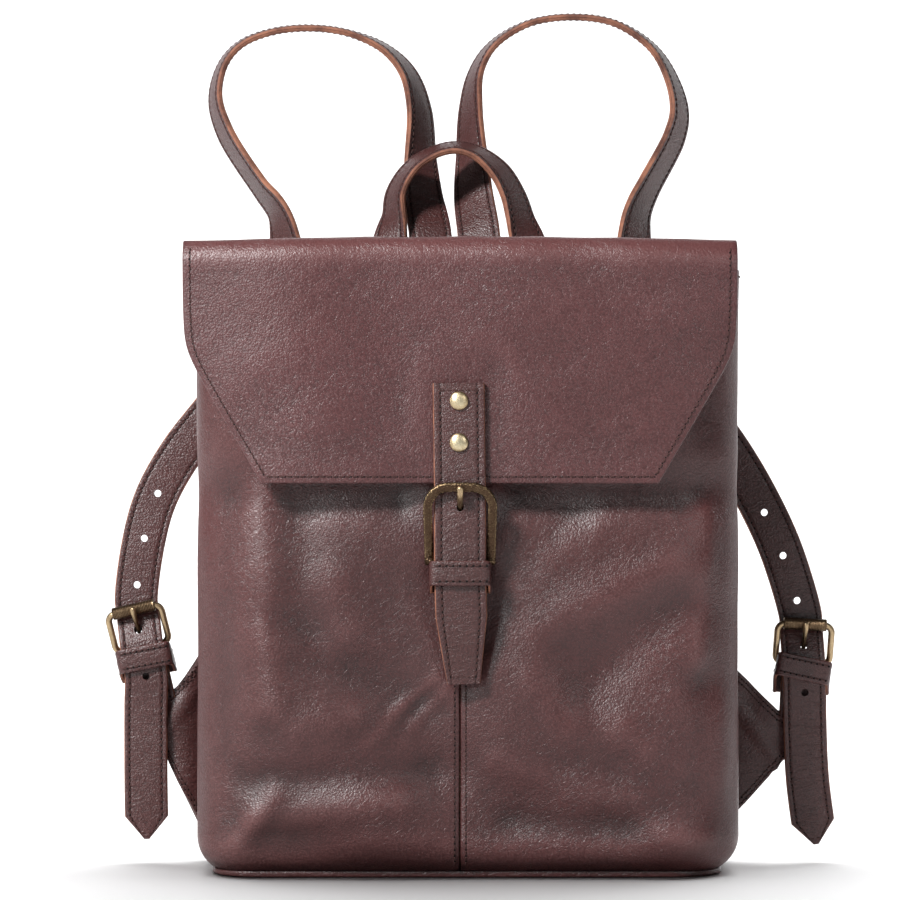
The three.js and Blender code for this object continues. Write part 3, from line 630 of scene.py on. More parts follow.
# ---- materials --------------------------------------------------------------------------------
class Surface:
    """Builds one material's nodes, one short call at a time."""

    def __init__(self, name):
        self.material = bpy.data.materials.new(name)
        self.material.use_nodes = True
        self.tree = self.material.node_tree
        self.shader = self.tree.nodes["Principled BSDF"]
        self.place = self.node("ShaderNodeTexCoord").outputs["Object"]

    def node(self, kind, inputs=None, **settings):
        """A node with its settings, and its inputs linked or set."""
        made = self.tree.nodes.new(kind)
        for key, value in settings.items():
            setattr(made, key, value)
        for key, value in (inputs or {}).items():
            if isinstance(value, bpy.types.NodeSocket):
                self.tree.links.new(value, made.inputs[key])
            else:
                made.inputs[key].default_value = value
        return made

    def stretched(self, scale, vector=None):
        """The place, scaled by a different amount along each axis."""
        inputs = {"Vector": vector or self.place, "Scale": scale}
        return self.node("ShaderNodeMapping", inputs).outputs[0]

    def turned(self, degrees, vector):
        """The place turned about Y, the front-to-back axis."""
        inputs = {"Vector": vector, "Rotation": (0, math.radians(degrees), 0)}
        return self.node("ShaderNodeMapping", inputs).outputs[0]

    def noise(self, scale, detail=4, roughness=0.55, distortion=0.0, vector=None):
        inputs = {"Vector": vector or self.place, "Scale": scale, "Detail": detail,
                  "Roughness": roughness, "Distortion": distortion}
        return self.node("ShaderNodeTexNoise", inputs).outputs["Fac"]

    def cells(self, scale, vector=None):
        inputs = {"Vector": vector or self.place, "Scale": scale}
        return self.node("ShaderNodeTexVoronoi", inputs).outputs["Distance"]

    def jittered(self, scale, amount):
        """The place, moved a little by noise, so that cells don't look regular."""
        cloud = self.node("ShaderNodeTexNoise", {"Vector": self.place, "Scale": scale, "Detail": 3})
        offset = self.node("ShaderNodeVectorMath", {0: cloud.outputs["Color"],
                                                    1: (0.5, 0.5, 0.5)}, operation="SUBTRACT")
        scaled = self.node("ShaderNodeVectorMath", {0: offset.outputs[0], "Scale": amount},
                           operation="SCALE")
        moved = self.node("ShaderNodeVectorMath", {0: self.place, 1: scaled.outputs[0]},
                          operation="ADD")
        return moved.outputs[0]

    def math(self, operation, a, b=0.0):
        return self.node("ShaderNodeMath", {0: a, 1: b}, operation=operation).outputs[0]

    def span(self, value, low, high, to_low=0.0, to_high=1.0):
        """The value carried from one range to another, and held inside it."""
        inputs = {"Value": value, "From Min": low, "From Max": high, "To Min": to_low,
                  "To Max": to_high}
        return self.node("ShaderNodeMapRange", inputs).outputs[0]

    def mixed(self, factor, a, b):
        inputs = {0: factor, 6: a, 7: b}
        return self.node("ShaderNodeMix", inputs, data_type="RGBA").outputs[2]

    def bump(self, height, distance, strength=1.0, normal=None):
        inputs = {"Height": height, "Distance": distance, "Strength": strength}
        if normal is not None:
            inputs["Normal"] = normal
        return self.node("ShaderNodeBump", inputs).outputs[0]

    def wear_and_shade(self):
        """How worn each point of the mesh is, and its painted shade: a negative value marks a hollow
        or a needle hole, which is darkened as painted shade.
        """
        return self.node("ShaderNodeAttribute", attribute_name="wear_and_shade").outputs["Fac"]

    def finish(self, colour, roughness, normal, **fixed):
        """Joins the last nodes to the shader and sets its fixed values."""
        for key, value in (("Base Color", colour), ("Roughness", roughness), ("Normal", normal)):
            self.tree.links.new(value, self.shader.inputs[key])
        for key, value in fixed.items():
            self.shader.inputs[key.replace("_", " ")].default_value = value
        return self.material


def colour(red, green, blue):
    """An opaque colour in linear light."""
    return (red, green, blue, 1.0)


def pull_up_leather(name, dark, base, drawn, slant, depth):
    """Waxed leather: an even brown with pebble grain, and fine creases drawn out along a slant. Its
    colour holds painted shade, darker in hollows, creases and between the grains, and painted light,
    lighter on the grains' tops.

    `drawn` is how many creases fit in a metre along x, y and z, after turning by the slant, and
    `depth` is how deep the grain and the creases are.
    """
    s = Surface(name)
    cloud = s.noise(7, 4, 0.5, 0.3)
    patch = s.noise(60, 4, 0.6, 0.6)
    speck = s.noise(1100, 3, 0.6)
    turned = s.turned(slant, s.jittered(14, 0.03))
    fold = s.noise(1.0, 4, 0.55, 0.8, s.stretched(drawn, turned))
    ridged = s.math("ABSOLUTE", s.math("SUBTRACT", fold, 0.5))
    amount = s.span(s.noise(15, 3, 0.5), 0.4, 0.64, 0.1, 1.0)
    crease = s.math("MULTIPLY", s.span(ridged, 0.0, 0.07, 1.0, 0.0), amount)
    pebbles = s.span(s.cells(880, s.jittered(260, 0.0022)), 0.05, 0.8)
    body = s.mixed(s.span(cloud, 0.3, 0.7), dark, base)
    wear_and_shade = s.math("ADD", s.wear_and_shade(), s.span(patch, 0.5, 0.85, 0, 0.1))
    # Painted light and shade of the grain: its tops a little lighter, the valleys between them darker.
    wear_and_shade = s.math("ADD", wear_and_shade, s.span(pebbles, 0.0, 1.0, 0.18, -0.28))
    # Painted shade in the fine creases.
    wear_and_shade = s.math("SUBTRACT", wear_and_shade, s.math("MULTIPLY", crease, 0.12))
    # Lighter where edges and ridges are worn, and on the grains' tops as painted light.
    worn_and_lit = s.mixed(s.span(wear_and_shade, 0.0, 1.0), body, RUBBED_AND_LIT)
    # Near black mixed in where the values are negative: painted shade in hollows, creases and between
    # the grains.
    shaded = s.mixed(s.span(wear_and_shade, -0.6, 0.0, 0.75, 0.0), worn_and_lit, PAINTED_SHADE)
    normal = s.bump(s.math("MULTIPLY", pebbles, -1.0), 0.00013 * depth, 1.0)
    normal = s.bump(s.math("MULTIPLY", crease, -1.0), 0.0001 * depth, 1.0, normal)
    normal = s.bump(fold, 0.0005 * depth, 0.6, normal)
    rough = s.math("ADD", s.span(cloud, 0.3, 0.7, 0.4, 0.34), s.span(speck, 0.3, 0.7, -0.04, 0.04))
    return s.finish(shaded, rough, normal, Specular_IOR_Level=0.52)


def raw_edge(name, light, dark):
    """The cut edge of leather: pale fibres with darker, burnished patches."""
    s = Surface(name)
    fibres = s.noise(900, 5, 0.7)
    patches = s.noise(60, 4, 0.6)
    tone = s.math("ADD", s.span(fibres, 0.3, 0.7, -0.25, 0.25), s.span(patches, 0.35, 0.65))
    normal = s.bump(fibres, 0.0003, 0.8)
    return s.finish(s.mixed(tone, light, dark), s.span(fibres, 0.3, 0.7, 0.85, 0.62), normal,
                    Specular_IOR_Level=0.35)


def suede(name, light, dark):
    """The flesh side of the leather."""
    s = Surface(name)
    nap = s.noise(1400, 5, 0.7)
    cloud = s.noise(40, 4, 0.6)
    tone = s.math("ADD", s.span(nap, 0.3, 0.7, -0.3, 0.3), s.span(cloud, 0.35, 0.65))
    return s.finish(s.mixed(tone, light, dark), s.span(nap, 0, 1, 0.8, 0.95),
                    s.bump(nap, 0.0003, 0.7), Sheen_Weight=0.25, Sheen_Roughness=0.5)


def thread_material():
    """Brown waxed thread, painted almost black as shade where the mesh marks a needle hole."""
    s = Surface("waxed_thread")
    twist = s.noise(1.0, 2, 0.5, 0.0, s.stretched((2600, 2600, 900)))
    tint = s.mixed(s.span(twist, 0.35, 0.65), colour(0.05, 0.022, 0.02),
                   colour(0.085, 0.04, 0.036))
    # Painted shade of the needle holes.
    tint = s.mixed(s.span(s.wear_and_shade(), -0.6, -0.2, 1.0, 0.0), tint, colour(0.006, 0.002, 0.002))
    return s.finish(tint, s.span(twist, 0.3, 0.7, 0.85, 0.65), s.bump(twist, 0.00012, 0.9),
                    Specular_IOR_Level=0.2)


def aged_brass(name, bright, dull, stipple=0.0):
    """Brass with a brown patina that is rubbed off on the high places."""
    s = Surface(name)
    cloud = s.noise(120, 5, 0.65, 0.5)
    pits = s.noise(1500, 3, 0.6)
    wear_and_shade = s.math("ADD", s.math("MULTIPLY", s.wear_and_shade(), 0.9), s.span(cloud, 0.42, 0.7, 0, 0.4))
    wear_and_shade = s.math("ADD", wear_and_shade, s.span(pits, 0.4, 0.75, -0.2, 0.2))
    tint = s.mixed(wear_and_shade, dull, bright)
    normal = s.bump(pits, 0.00008, 0.7)
    if stipple:
        dots = s.cells(stipple)
        lattice = s.span(dots, 0.0, 0.5, 1.0, 0.0)
        normal = s.bump(lattice, 0.0003, 0.9, normal)
        tint = s.mixed(s.span(dots, 0.2, 0.55, 0.0, 0.75), tint, dull)
    rough = s.math("ADD", s.span(cloud, 0.3, 0.7, 0.44, 0.3), s.span(pits, 0.3, 0.7, -0.06, 0.06))
    return s.finish(tint, rough, normal, Metallic=1.0)


def woven_cotton():
    """Plain cotton lining, woven of threads along X and Z."""
    s = Surface("woven_cotton")
    thread = {"Vector": s.place, "Scale": 190.0, "Distortion": 0.6}
    warp, weft = (s.node("ShaderNodeTexWave", thread, bands_direction=way).outputs["Fac"]
                  for way in ("X", "Z"))
    weave = s.math("MAXIMUM", warp, weft)
    cloud = s.noise(30, 4, 0.6)
    tint = s.mixed(s.span(cloud, 0.35, 0.65), colour(0.22, 0.165, 0.11), colour(0.33, 0.25, 0.17))
    tint = s.mixed(s.span(weave, 0.2, 0.9, 0.5, 0.0), tint, colour(0.11, 0.08, 0.05))
    return s.finish(tint, s.span(weave, 0, 1, 0.95, 0.82), s.bump(weave, 0.00035, 0.8),
                    Sheen_Weight=0.2)


def pressed_board():
    """Grey-brown board of pressed fibres, drawn out along X."""
    s = Surface("pressed_board")
    fibres = s.noise(1.0, 5, 0.7, 0.0, s.stretched((240, 900, 900)))
    tint = s.mixed(s.span(fibres, 0.35, 0.65), colour(0.12, 0.09, 0.065), colour(0.2, 0.16, 0.12))
    return s.finish(tint, s.span(fibres, 0, 1, 0.9, 0.75), s.bump(fibres, 0.0004, 0.6))


# Near black: painted shade for hollows, creases and the valleys of the grain.
PAINTED_SHADE = colour(0.012, 0.004, 0.004)
# Lighter brown for worn edges and ridges, and painted light on the grains' tops.
RUBBED_AND_LIT = colour(0.19, 0.078, 0.075)
BODY_LEATHER = pull_up_leather("body_leather", colour(0.06, 0.017, 0.0165),
                               colour(0.086, 0.0255, 0.025), (230, 230, 330), 28, 1.0)
# The flap's leather is the body's leather painted lighter, as painted light on the flap.
FLAP_LEATHER_PAINTED_LIGHTER = pull_up_leather("flap_leather_painted_lighter", colour(0.084, 0.0265, 0.0265),
                               colour(0.108, 0.036, 0.037), (330, 330, 210), 32, 1.0)
STRAP_LEATHER = pull_up_leather("strap_leather", colour(0.064, 0.0205, 0.019),
                                colour(0.094, 0.031, 0.029), (90, 90, 380), 8, 1.5)
TAN_EDGE = raw_edge("tan_cut_edge", colour(0.36, 0.15, 0.09), colour(0.11, 0.042, 0.03))
DARK_EDGE = raw_edge("dark_cut_edge", colour(0.12, 0.05, 0.038), colour(0.03, 0.013, 0.011))
SUEDE = suede("flesh_side", colour(0.23, 0.12, 0.08), colour(0.13, 0.062, 0.042))
THREAD_BROWN = thread_material()
FRAME_BRASS = aged_brass("cast_brass", colour(0.5, 0.37, 0.2), colour(0.075, 0.045, 0.028), 850.0)
WIRE_BRASS = aged_brass("wire_brass", colour(0.5, 0.37, 0.22), colour(0.13, 0.085, 0.05))
RIVET_BRASS = aged_brass("rivet_brass", colour(0.86, 0.76, 0.52), colour(0.5, 0.38, 0.22))
COTTON = woven_cotton()
BOARD = pressed_board()


# ---- putting pieces on the frame ----------------------------------------------------------------
def dress(piece, body, slot, *nodes):
    """Says what a finished piece rides on and the CAD nodes it stands for; its finish, the slot, is
    not used.
    """
    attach(piece, body)
    if nodes:
        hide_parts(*nodes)
    return piece


def build_on(body, slot, name, parts, materials, *nodes):
    """Builds a piece that rides on one body."""
    return dress(build(name, parts, materials), body, slot, *nodes)


def threads_on(body, slot, name, rows):
    """Builds the thread of several stitch rows, which rides on one body."""
    return build_on(body, slot, name, rows, [THREAD_BROWN])


def bent(piece, bodies, direction, start, end, slot, *nodes):
    """Bakes a piece's placement into its mesh and hides the CAD nodes it stands for; its bodies,
    direction, start, end and slot are not used.
    """
    direction = Vector(direction)
    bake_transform(piece)
    if nodes:
        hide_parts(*nodes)
    return piece


# ---- the body of the bag ------------------------------------------------------------------------
FRONT_FLAT, BACK_FLAT = HALF - CORNER_FRONT, HALF - CORNER_BACK  # half the flat width
Y_FRONT, Y_BACK = -DEPTH / 2 + CORNER_FRONT, DEPTH / 2 - CORNER_BACK  # where the corners turn
# Half of the body's plan, from the middle of the front to the middle of the back: the distance
# round it, and there the turning point, the radius and the angle of the outline.
PLAN = {
    "distance": np.cumsum([0, FRONT_FLAT, CORNER_FRONT * math.pi / 2,
                           DEPTH - CORNER_FRONT - CORNER_BACK, CORNER_BACK * math.pi / 2,
                           BACK_FLAT]),
    "x": [0, FRONT_FLAT, FRONT_FLAT, BACK_FLAT, BACK_FLAT, 0],
    "y": [Y_FRONT] * 3 + [Y_BACK] * 3,
    "radius": [CORNER_FRONT] * 3 + [CORNER_BACK] * 3,
    "angle": [-90, -90, 0, 0, 90, 90],
}
CORNER_STARTS, CORNER_ENDS = PLAN["distance"][1:3]
SIDE_SEAM = CORNER_ENDS + SEAM_BACK - Y_FRONT
BACK_MIDDLE = PLAN["distance"][5]


def plan_at(distance, offset):
    """x and y on the right half of the body's outline, moved outward by offset."""
    x, y, radius, angle = (np.interp(distance, PLAN["distance"], PLAN[key])
                           for key in ("x", "y", "radius", "angle"))
    angle = np.radians(angle)
    reach = radius + offset
    return x + reach * np.cos(angle), y + reach * np.sin(angle)


def meridian(bottom, top):
    """Offset and height up the wall: the rolled foot, then straight up to the top."""
    path = rounded([(-60, 0), (0, 0), (0, top)], [0, ROLL, 0], steps=24)
    along = lengths(path)
    start = np.interp(bottom, path[1:, 1], along[1:])
    up = lines(start, along[-1], GRID)
    return up, sample(path, up)


def bump_at(value, middle, width):
    """1 at the middle value, falling to 0 on both sides of it."""
    return np.exp(-(((value - middle) / width) ** 2))


def arched(value, length):
    """A half sine over 0 to length, and 0 outside it."""
    return np.sin(np.pi * np.clip(value / length, 0, 1))


def seam_at(distance, seam):
    """1 at a seam, and 0 a few millimetres away from it."""
    return bump_at(distance, seam, 1.6)


def body_relief(distance, z, sign):
    """How far the leather stands out from the plain outline, on one half of the body."""
    x = np.minimum(distance, HALF - 6.0) * sign
    front = 1 - smooth(distance, CORNER_STARTS + 8, CORNER_ENDS + 4)
    out = front * (2.6 * arched(z, 300) * arched(distance, 130))
    for line in RELIEF:
        out = out + front * ridge(x, z, line)
    under_flap = bump_at(z, FLAP_BOTTOM - 5, 15) * smooth(np.abs(x), 16, 34)
    out = out - 4.6 * front * under_flap
    free = smooth(np.abs(x) / 24 + np.abs(z - 150) / 60, 0.7, 1.3)  # flat behind the buckle
    out = out + front * free * (2.0 * ripple(x, z, 105, 3) + 0.4 * ripple(x, z, 40, 5))
    out = out * free + front * 0.07 * ripple(x, z, 13, 8)
    side = smooth(distance, CORNER_ENDS - 10, CORNER_ENDS + 8)
    side = side * (1 - smooth(distance, SIDE_SEAM - 14, SIDE_SEAM - 2))
    sag = -5.0 * arched(z, 330) ** 0.7
    sag = sag + 1.0 * ripple(distance, z, 120, 12 + sign) + 0.2 * ripple(distance, z, 34, 15)
    out = out + side * sag
    held_by_base = smooth(z, 2, 26)
    return out * held_by_base - SEAM_SINK * (seam_at(distance, 0) + seam_at(distance, SIDE_SEAM))


def back_relief(distance, z, sign):
    """How far the back panel stands out from the plain outline: flat, and hollow in the middle."""
    middle = smooth(distance, SIDE_SEAM + 24, SIDE_SEAM + 60)
    middle = middle * smooth(z, 8, 40)
    across = (BACK_MIDDLE - distance) * sign
    waves = 0.9 * ripple(across, z, 90, 21) + 0.2 * ripple(across, z, 34, 22)
    under_patch = 1 - smooth(z, 290, 330)
    return middle * (waves - 1.8) * under_patch - SEAM_SINK * seam_at(distance, SIDE_SEAM)


def leant(grid):
    """The body leans a little to the right, as soft leather does."""
    x = grid[..., 0]
    side = x / HALF
    grid[..., 0] = x + 4.4 * side**2 + side
    return grid


def wall(distances, path, relief, sign):
    """The points of a wall's outer face, on one half of the body."""
    offset, z = path[:, :1], path[:, 1:]
    x, y = plan_at(distances[None, :], offset + relief(distances[None, :], z, sign))
    return leant(np.stack([x * sign, y, z + 0 * x], axis=-1))


def make_front_half(side):
    """Half of the front and one side in a single panel, with its seam and rim stitches."""
    sign = SIDES[side]["sign"]
    heights, path = meridian(WALL_FOOT, RIM)
    distances = lines(SEAM_GAP, SIDE_SEAM - SEAM_GAP, GRID)
    sheet = Sheet(distances, heights, wall(distances, path, body_relief, sign), INSIDE, LEATHER)
    build_on("bag", "body_leather", "front_panel_%s_leather" % side, [sheet.part()],
             [BODY_LEATHER, DARK_EDGE], "front_panel_" + side)
    up = np.arange(heights[0] + 6, heights[-1] - 3, ROW_STEP)
    across = np.arange(4, SIDE_SEAM - 4, ROW_STEP)
    rows = [row_on(sheet, at, up) for at in (3.1, SIDE_SEAM - 3.0, SIDE_SEAM - 6.2)]
    rows.append(row_on(sheet, across, heights[-1] - 4.0))
    threads_on("bag", "body_leather", "front_seam_stitches_" + side, rows)


def make_back_panel():
    """The back panel, from side seam to side seam round the two back corners."""
    heights, path = meridian(WALL_FOOT, BACK_TOP)
    distances = lines(SIDE_SEAM + SEAM_GAP, BACK_MIDDLE, GRID)
    left, right = (wall(distances, path, back_relief, sign) for sign in (-1, 1))
    grid = np.hstack([left, right[:, ::-1][:, 1:]])
    width = np.concatenate([distances - BACK_MIDDLE, (BACK_MIDDLE - distances)[::-1][1:]])
    sheet = Sheet(width, heights, grid, INSIDE, LEATHER)
    build_on("bag", "body_leather", "back_panel_leather", [sheet.part()],
             [BODY_LEATHER, DARK_EDGE], "back_panel")
    up = np.arange(heights[0] + 6, heights[-1] - 3, ROW_STEP)
    reach = BACK_MIDDLE - SIDE_SEAM - 3.2
    rows = [row_on(sheet, at, up) for at in (-reach, reach)]
    threads_on("bag", "body_leather", "back_seam_stitches", rows)


def flat_outline(inset, steps=10):
    """The body's whole outline moved in, as x and y points."""
    turns = [np.linspace(*PLAN["distance"][k : k + 2], steps) for k in (1, 3)]
    x, y = plan_at(np.concatenate(turns), -inset)
    return np.concatenate([np.column_stack([x, y]), np.column_stack([-x, y])[::-1]])


def plate(outline, low, high, edge):
    """A flat plate in x and y with rounded upper and lower edges."""
    centre = outline.mean(0)
    turn = np.linspace(0, math.pi / 2, 4)
    inset, rise = edge * (1 - np.sin(turn)), edge * (1 - np.cos(turn))
    insets = np.concatenate([inset, inset[::-1]])
    heights = np.concatenate([low + rise, (high - rise)[::-1]])
    spread = np.linalg.norm(outline - centre, axis=1, keepdims=True)
    points = []
    for inset, z in zip(insets, heights):
        ring = centre + (outline - centre) * (1 - inset / spread)
        points.append(np.column_stack([ring, np.full(len(ring), z)]))
    count, total = len(outline), len(points)
    index = np.arange(count * total).reshape(total, count)
    faces = [tuple(index[0][::-1].tolist()), tuple(index[-1].tolist())]
    for i in range(total - 1):
        for k in range(count):
            n = (k + 1) % count
            faces.append((int(index[i, k]), int(index[i, n]), int(index[i + 1, n]),
                          int(index[i + 1, k])))
    return {"points": np.vstack(points), "faces": faces}


def make_base():
    """The base panel, with a row of sunk stitches round its underside."""
    part = plate(flat_outline(9.6), 0.0, 3.4, 1.2)
    part["points"] = leant(part["points"])
    build_on("bag", "body_leather", "base_panel_leather", [part], [BODY_LEATHER], "base_panel")
    outline = flat_outline(13.5, 14)
    outline = np.vstack([outline, outline[:1]])
    dense = sample(outline, np.arange(0, lengths(outline)[-1], 1.5))
    ring = leant(np.column_stack([dense, np.full(len(dense), 0.32)]))
    row = stitch_part(ring, np.tile((0.0, 0, -1.0), (len(ring), 1)), radius=0.3)
    threads_on("bag", "body_leather", "base_stitches", [row])


def closed_wall(inset, bottom, top, thickness, relief):
    """A band right round the inside of the body."""
    heights = lines(bottom, top, INNER_GRID)
    half = np.arange(0, BACK_MIDDLE + 0.1, INNER_GRID)
    z = heights[:, None]
    sides = []
    for sign in (1, -1):
        offset = -inset + relief(half[None, :], z, sign) - 8 * (1 - smooth(z, 4, 24))
        x, y = plan_at(half[None, :], offset)
        sides.append(np.stack([x * sign, y, z + 0 * x], axis=-1))
    grid = leant(np.hstack([sides[0], sides[1][:, ::-1][:, 1:-1]]))
    width = np.arange(grid.shape[1]) * INNER_GRID
    return Sheet(width, heights, grid, INSIDE, thickness, edge=0.3, loop=True)


def inner_relief(distance, z, sign):
    """The lining follows the sides as they sag, and hangs a little loose."""
    side = smooth(distance, CORNER_ENDS - 16, CORNER_ENDS + 4)
    side = side * (1 - smooth(distance, SIDE_SEAM - 6, SIDE_SEAM + 6))
    loose = 0.9 * ripple(distance * sign, z, 45, 31) - 2.2
    fade = smooth(z, 12, 60) * (1 - smooth(z, 280, 306))
    return (side * -6.5 + loose) * fade - 1.6 * side


def facing_relief(distance, z, sign):
    """The facing keeps all the way up the shape that the lining has at its top."""
    return inner_relief(distance, 300 + 0 * z, sign)


def make_inside():
    """The lining with its floor, the leather facing round the mouth, and the pocket."""
    lining = closed_wall(4.6, 6.0, 306.0, CLOTH, inner_relief)
    floor = plate(flat_outline(17.5), 5.2, 6.2, 0.4)
    floor["points"] = leant(floor["points"])
    build_on("bag", "cotton", "lining_bag", [lining.part(0.0), floor], [COTTON, COTTON], "lining")
    facing = closed_wall(3.0, 303.5, 334.0, 1.5, facing_relief)
    build_on("bag", "body_leather", "mouth_facing_leather", [facing.part()], [SUEDE, TAN_EDGE],
             "mouth_facing")
    make_pocket()


def make_pocket():
    """The flat pocket on the back wall, whose upper edge gapes and dips in the middle."""
    half, bottom, top, rear = 80.0, 150.0, 268.0, 40.2
    u, v = lines(-half, half, INNER_GRID), lines(bottom, top, INNER_GRID)
    x, z = np.meshgrid(u, v)
    middle = np.cos(np.pi * x / (2 * half))
    gape = 3.2 * middle * smooth(z, bottom + 30, top)
    y = rear - gape + 0.4 * ripple(x, z, 40, 41)
    dip = 2.5 * middle * smooth(z, top - 40, top)
    sheet = Sheet(u, v, np.stack([x, y, z - dip], -1), (0, 200, 200), 1.2, edge=0.4)
    build_on("bag", "cotton", "inner_pocket_cotton", [sheet.part(0.0)], [COTTON, COTTON],
             "inner_pocket")
    up, over = np.arange(bottom + 3, top - 3, 1.3), np.arange(-half + 3, half - 3, 1.3)
    rows = [row_on(sheet, side, up) for side in (-half + 3, half - 3)]
    rows += [row_on(sheet, over, height) for height in (bottom + 3, top - 8)]
    threads_on("bag", "cotton", "inner_pocket_stitches", rows)


# ---- the flap -----------------------------------------------------------------------------------
def flap_half(z):
    """Half the flap's width at height z down its front: straight, then bending in to the corner."""
    corner_half, corner_z = 148.0, 284.0
    slope = (corner_half - FLAP_FOOT_HALF) / (corner_z - FLAP_BOTTOM)
    gap = FLAP_HALF - (FLAP_FOOT_HALF + (z - FLAP_BOTTOM) * slope)
    softness = 34.0
    slack = 0.3
    return FLAP_HALF - 0.5 * (gap + np.sqrt(gap**2 + softness)) + slack


def flap_profile(depth, rear_foot):
    """The flap's y and z, `depth` under its outer face: up the back, over the top, down the front."""
    rear, top, front = FLAP_REAR - depth, FLAP_TOP - depth, FLAP_FRONT + depth
    return rounded([(rear, rear_foot), (rear, top), (front, top), (front, FLAP_BOTTOM)],
                   [0, 7 - depth, 13 - depth, 0], steps=14)


def flap_sheet(depth, rear_foot, inset, thickness, step, edge):
    """The flap's leather or its lining: it sags between its edges and hugs the body's corners."""
    path = flap_profile(depth, rear_foot)
    path = sample(path, np.arange(0, lengths(path)[-1] - inset, 0.5))
    v = lines(0, lengths(path)[-1], step)
    rows = sample(path, v)
    y, z = rows[:, :1], rows[:, 1:]
    on_front = smooth(-y, 40, 58)
    half = np.where(on_front > 0.5, flap_half(z), FLAP_HALF) - inset
    half = np.where(y > 47, FLAP_HALF - 6 - inset, half) + 0 * z
    u = lines(-1, 1, step / FLAP_HALF, edge=EDGE_STEPS / FLAP_HALF)
    x = half * u[None, :]
    top = smooth(z, 300, 348)
    fall = 2.3 * (x / FLAP_HALF) ** 2 * top * smooth(-y, -46, -20)
    waves = on_front * (1.5 * ripple(x, z, 120, 51) + 0.25 * ripple(x, z, 44, 52)
                        + 0.04 * ripple(x, z, 13, 53))
    hug = 4.5 * np.abs(x / FLAP_HALF) ** 3 * on_front
    belly = 1.2 * on_front * np.cos(np.pi * x / 320) * arched(z - FLAP_BOTTOM, 130)
    lip = 2.0 * on_front * smooth(-z, -FLAP_BOTTOM - 26, -FLAP_BOTTOM) * smooth(np.abs(x), 15, 60)
    free = np.clip(smooth(np.abs(x), 16, 34) + smooth(z, 276, 300), 0, 1)  # not under the strap
    y = y + (hug - belly - waves - lip) * free
    top_waves = (1 - on_front) * top * smooth(-y, -40, -20) * 0.7 * ripple(x, y, 80, 54)
    grid = np.stack([x, y + 0 * x, z - fall - np.abs(top_waves)], axis=-1)
    return Sheet(u, v, grid, (0, 0, 250), thickness, edge)


def under_patch(points):
    """Which points lie under the patch on the back, where the flap has no stitches of its own."""
    return np.abs(points[:, 0]) < 55


def make_flap():
    """The flap's leather and lining, and their stitches."""
    hinge = (("bag", "flap"), (0, -1, 0), -50.0, -30.0)
    sheet = flap_sheet(0.0, 337.0, 0.0, LEATHER, GRID, 0.9)
    piece = build("flap_outer_leather", [sheet.part(0.5)], [FLAP_LEATHER_PAINTED_LIGHTER, TAN_EDGE])
    bent(piece, *hinge, "body_leather", "flap_leather")
    end, inset = sheet.v[-1], 3.7
    front = np.arange(end - 132, end - inset, ROW_STEP)
    z = sheet.at(np.zeros(len(front)), front)[0][:, 2]
    rows = [row_on(sheet, sign * (1 - inset * 1.15 / flap_half(z)), front) for sign in (-1, 1)]
    rows.append(row_on(sheet, np.linspace(-0.96, 0.96, 240), end - inset))
    threads_on("flap", "body_leather", "flap_edge_stitches", rows)
    rear = row_on(sheet, np.linspace(-0.985, 0.985, 260), 3.4, skip=under_patch)
    threads_on("bag", "body_leather", "flap_rear_stitches", [rear])
    lining = flap_sheet(LEATHER + 0.25, 344.0, 3.0, CLOTH, INNER_GRID, 0.35)
    cloth = build("flap_lining_cotton", [lining.part(0.0)], [COTTON, COTTON])
    bent(cloth, *hinge, "cotton", "flap_lining")


def make_rivets():
    """The two domed rivet caps on the closure strap, rubbed bright on their tops."""
    profile = [(0, 0), (0, 4.7), (0.25, 5.0), (0.6, 5.05), (1.0, 4.8), (1.5, 4.0), (1.9, 2.9),
               (2.12, 1.5), (2.2, 0)]
    for which, z in (("upper", 262.3), ("lower", 239.6)):
        part = turned(profile, 40)
        points = part["points"]
        part["points"] = points[:, [1, 0, 2]] * (1, -1, 1) + (-0.6, -64.5, z)
        part["wear_and_shade"] = np.clip(1 - np.hypot(points[:, 1], points[:, 2]) / 5, 0, 1)
        cap = build("rivet_dome_" + which, [part], [RIVET_BRASS], 30)
        dress(cap, "flap", "aged_brass", "rivet_cap_" + which)


def closure_route():
    """The closure strap's route: down the flap, through the buckle and on to its free tip."""
    _, y, z = CLOSURE_AT
    flat = FLAP_FRONT - 2.3
    return [(-0.8, flat, 272, 0), (-0.5, flat, 245, 0), (-0.2, flat, 222, 0),
            (0, y - 5.9, z + 38, 0), (0, y - 6.3, z + 20, 0), (0, y - 6.7, z, 0),
            (0.2, y - 6.7, z - 14, 0), (1.0, y - 3.4, z - 40, 0), (2.0, y + 0.5, 108, 0)]


def along_prong(place, path, radius, tilt=0.0):
    """A round cutter along a prong's path."""
    points = np.array([(0, y, z) for y, z in path], float)
    dense = tipped(sample(points, np.linspace(0, lengths(points)[-1], 14)), tilt)
    return place.part(tube(dense, radius, (1, 0, 0)))


def make_closure_strap():
    """The closure strap, with the hole that the buckle's prong passes through."""
    strap = Strap(closure_route(), 28.0, taper=37, tip=18, channel=3.9)
    piece = build("closure_strap_leather", [strap.part()], [STRAP_LEATHER, TAN_EDGE])
    cut(piece, [along_prong(Place(CLOSURE_AT), CLOSURE_PRONG, 2.0)], DARK_EDGE)
    dress(piece, "flap", "strap_leather", "closure_strap")
    rows = strap.stitch_rows(-1, end=4.0) + [strap.cross_row(4.0, -0.3, -1)]
    threads_on("flap", "strap_leather", "closure_strap_stitches", rows)


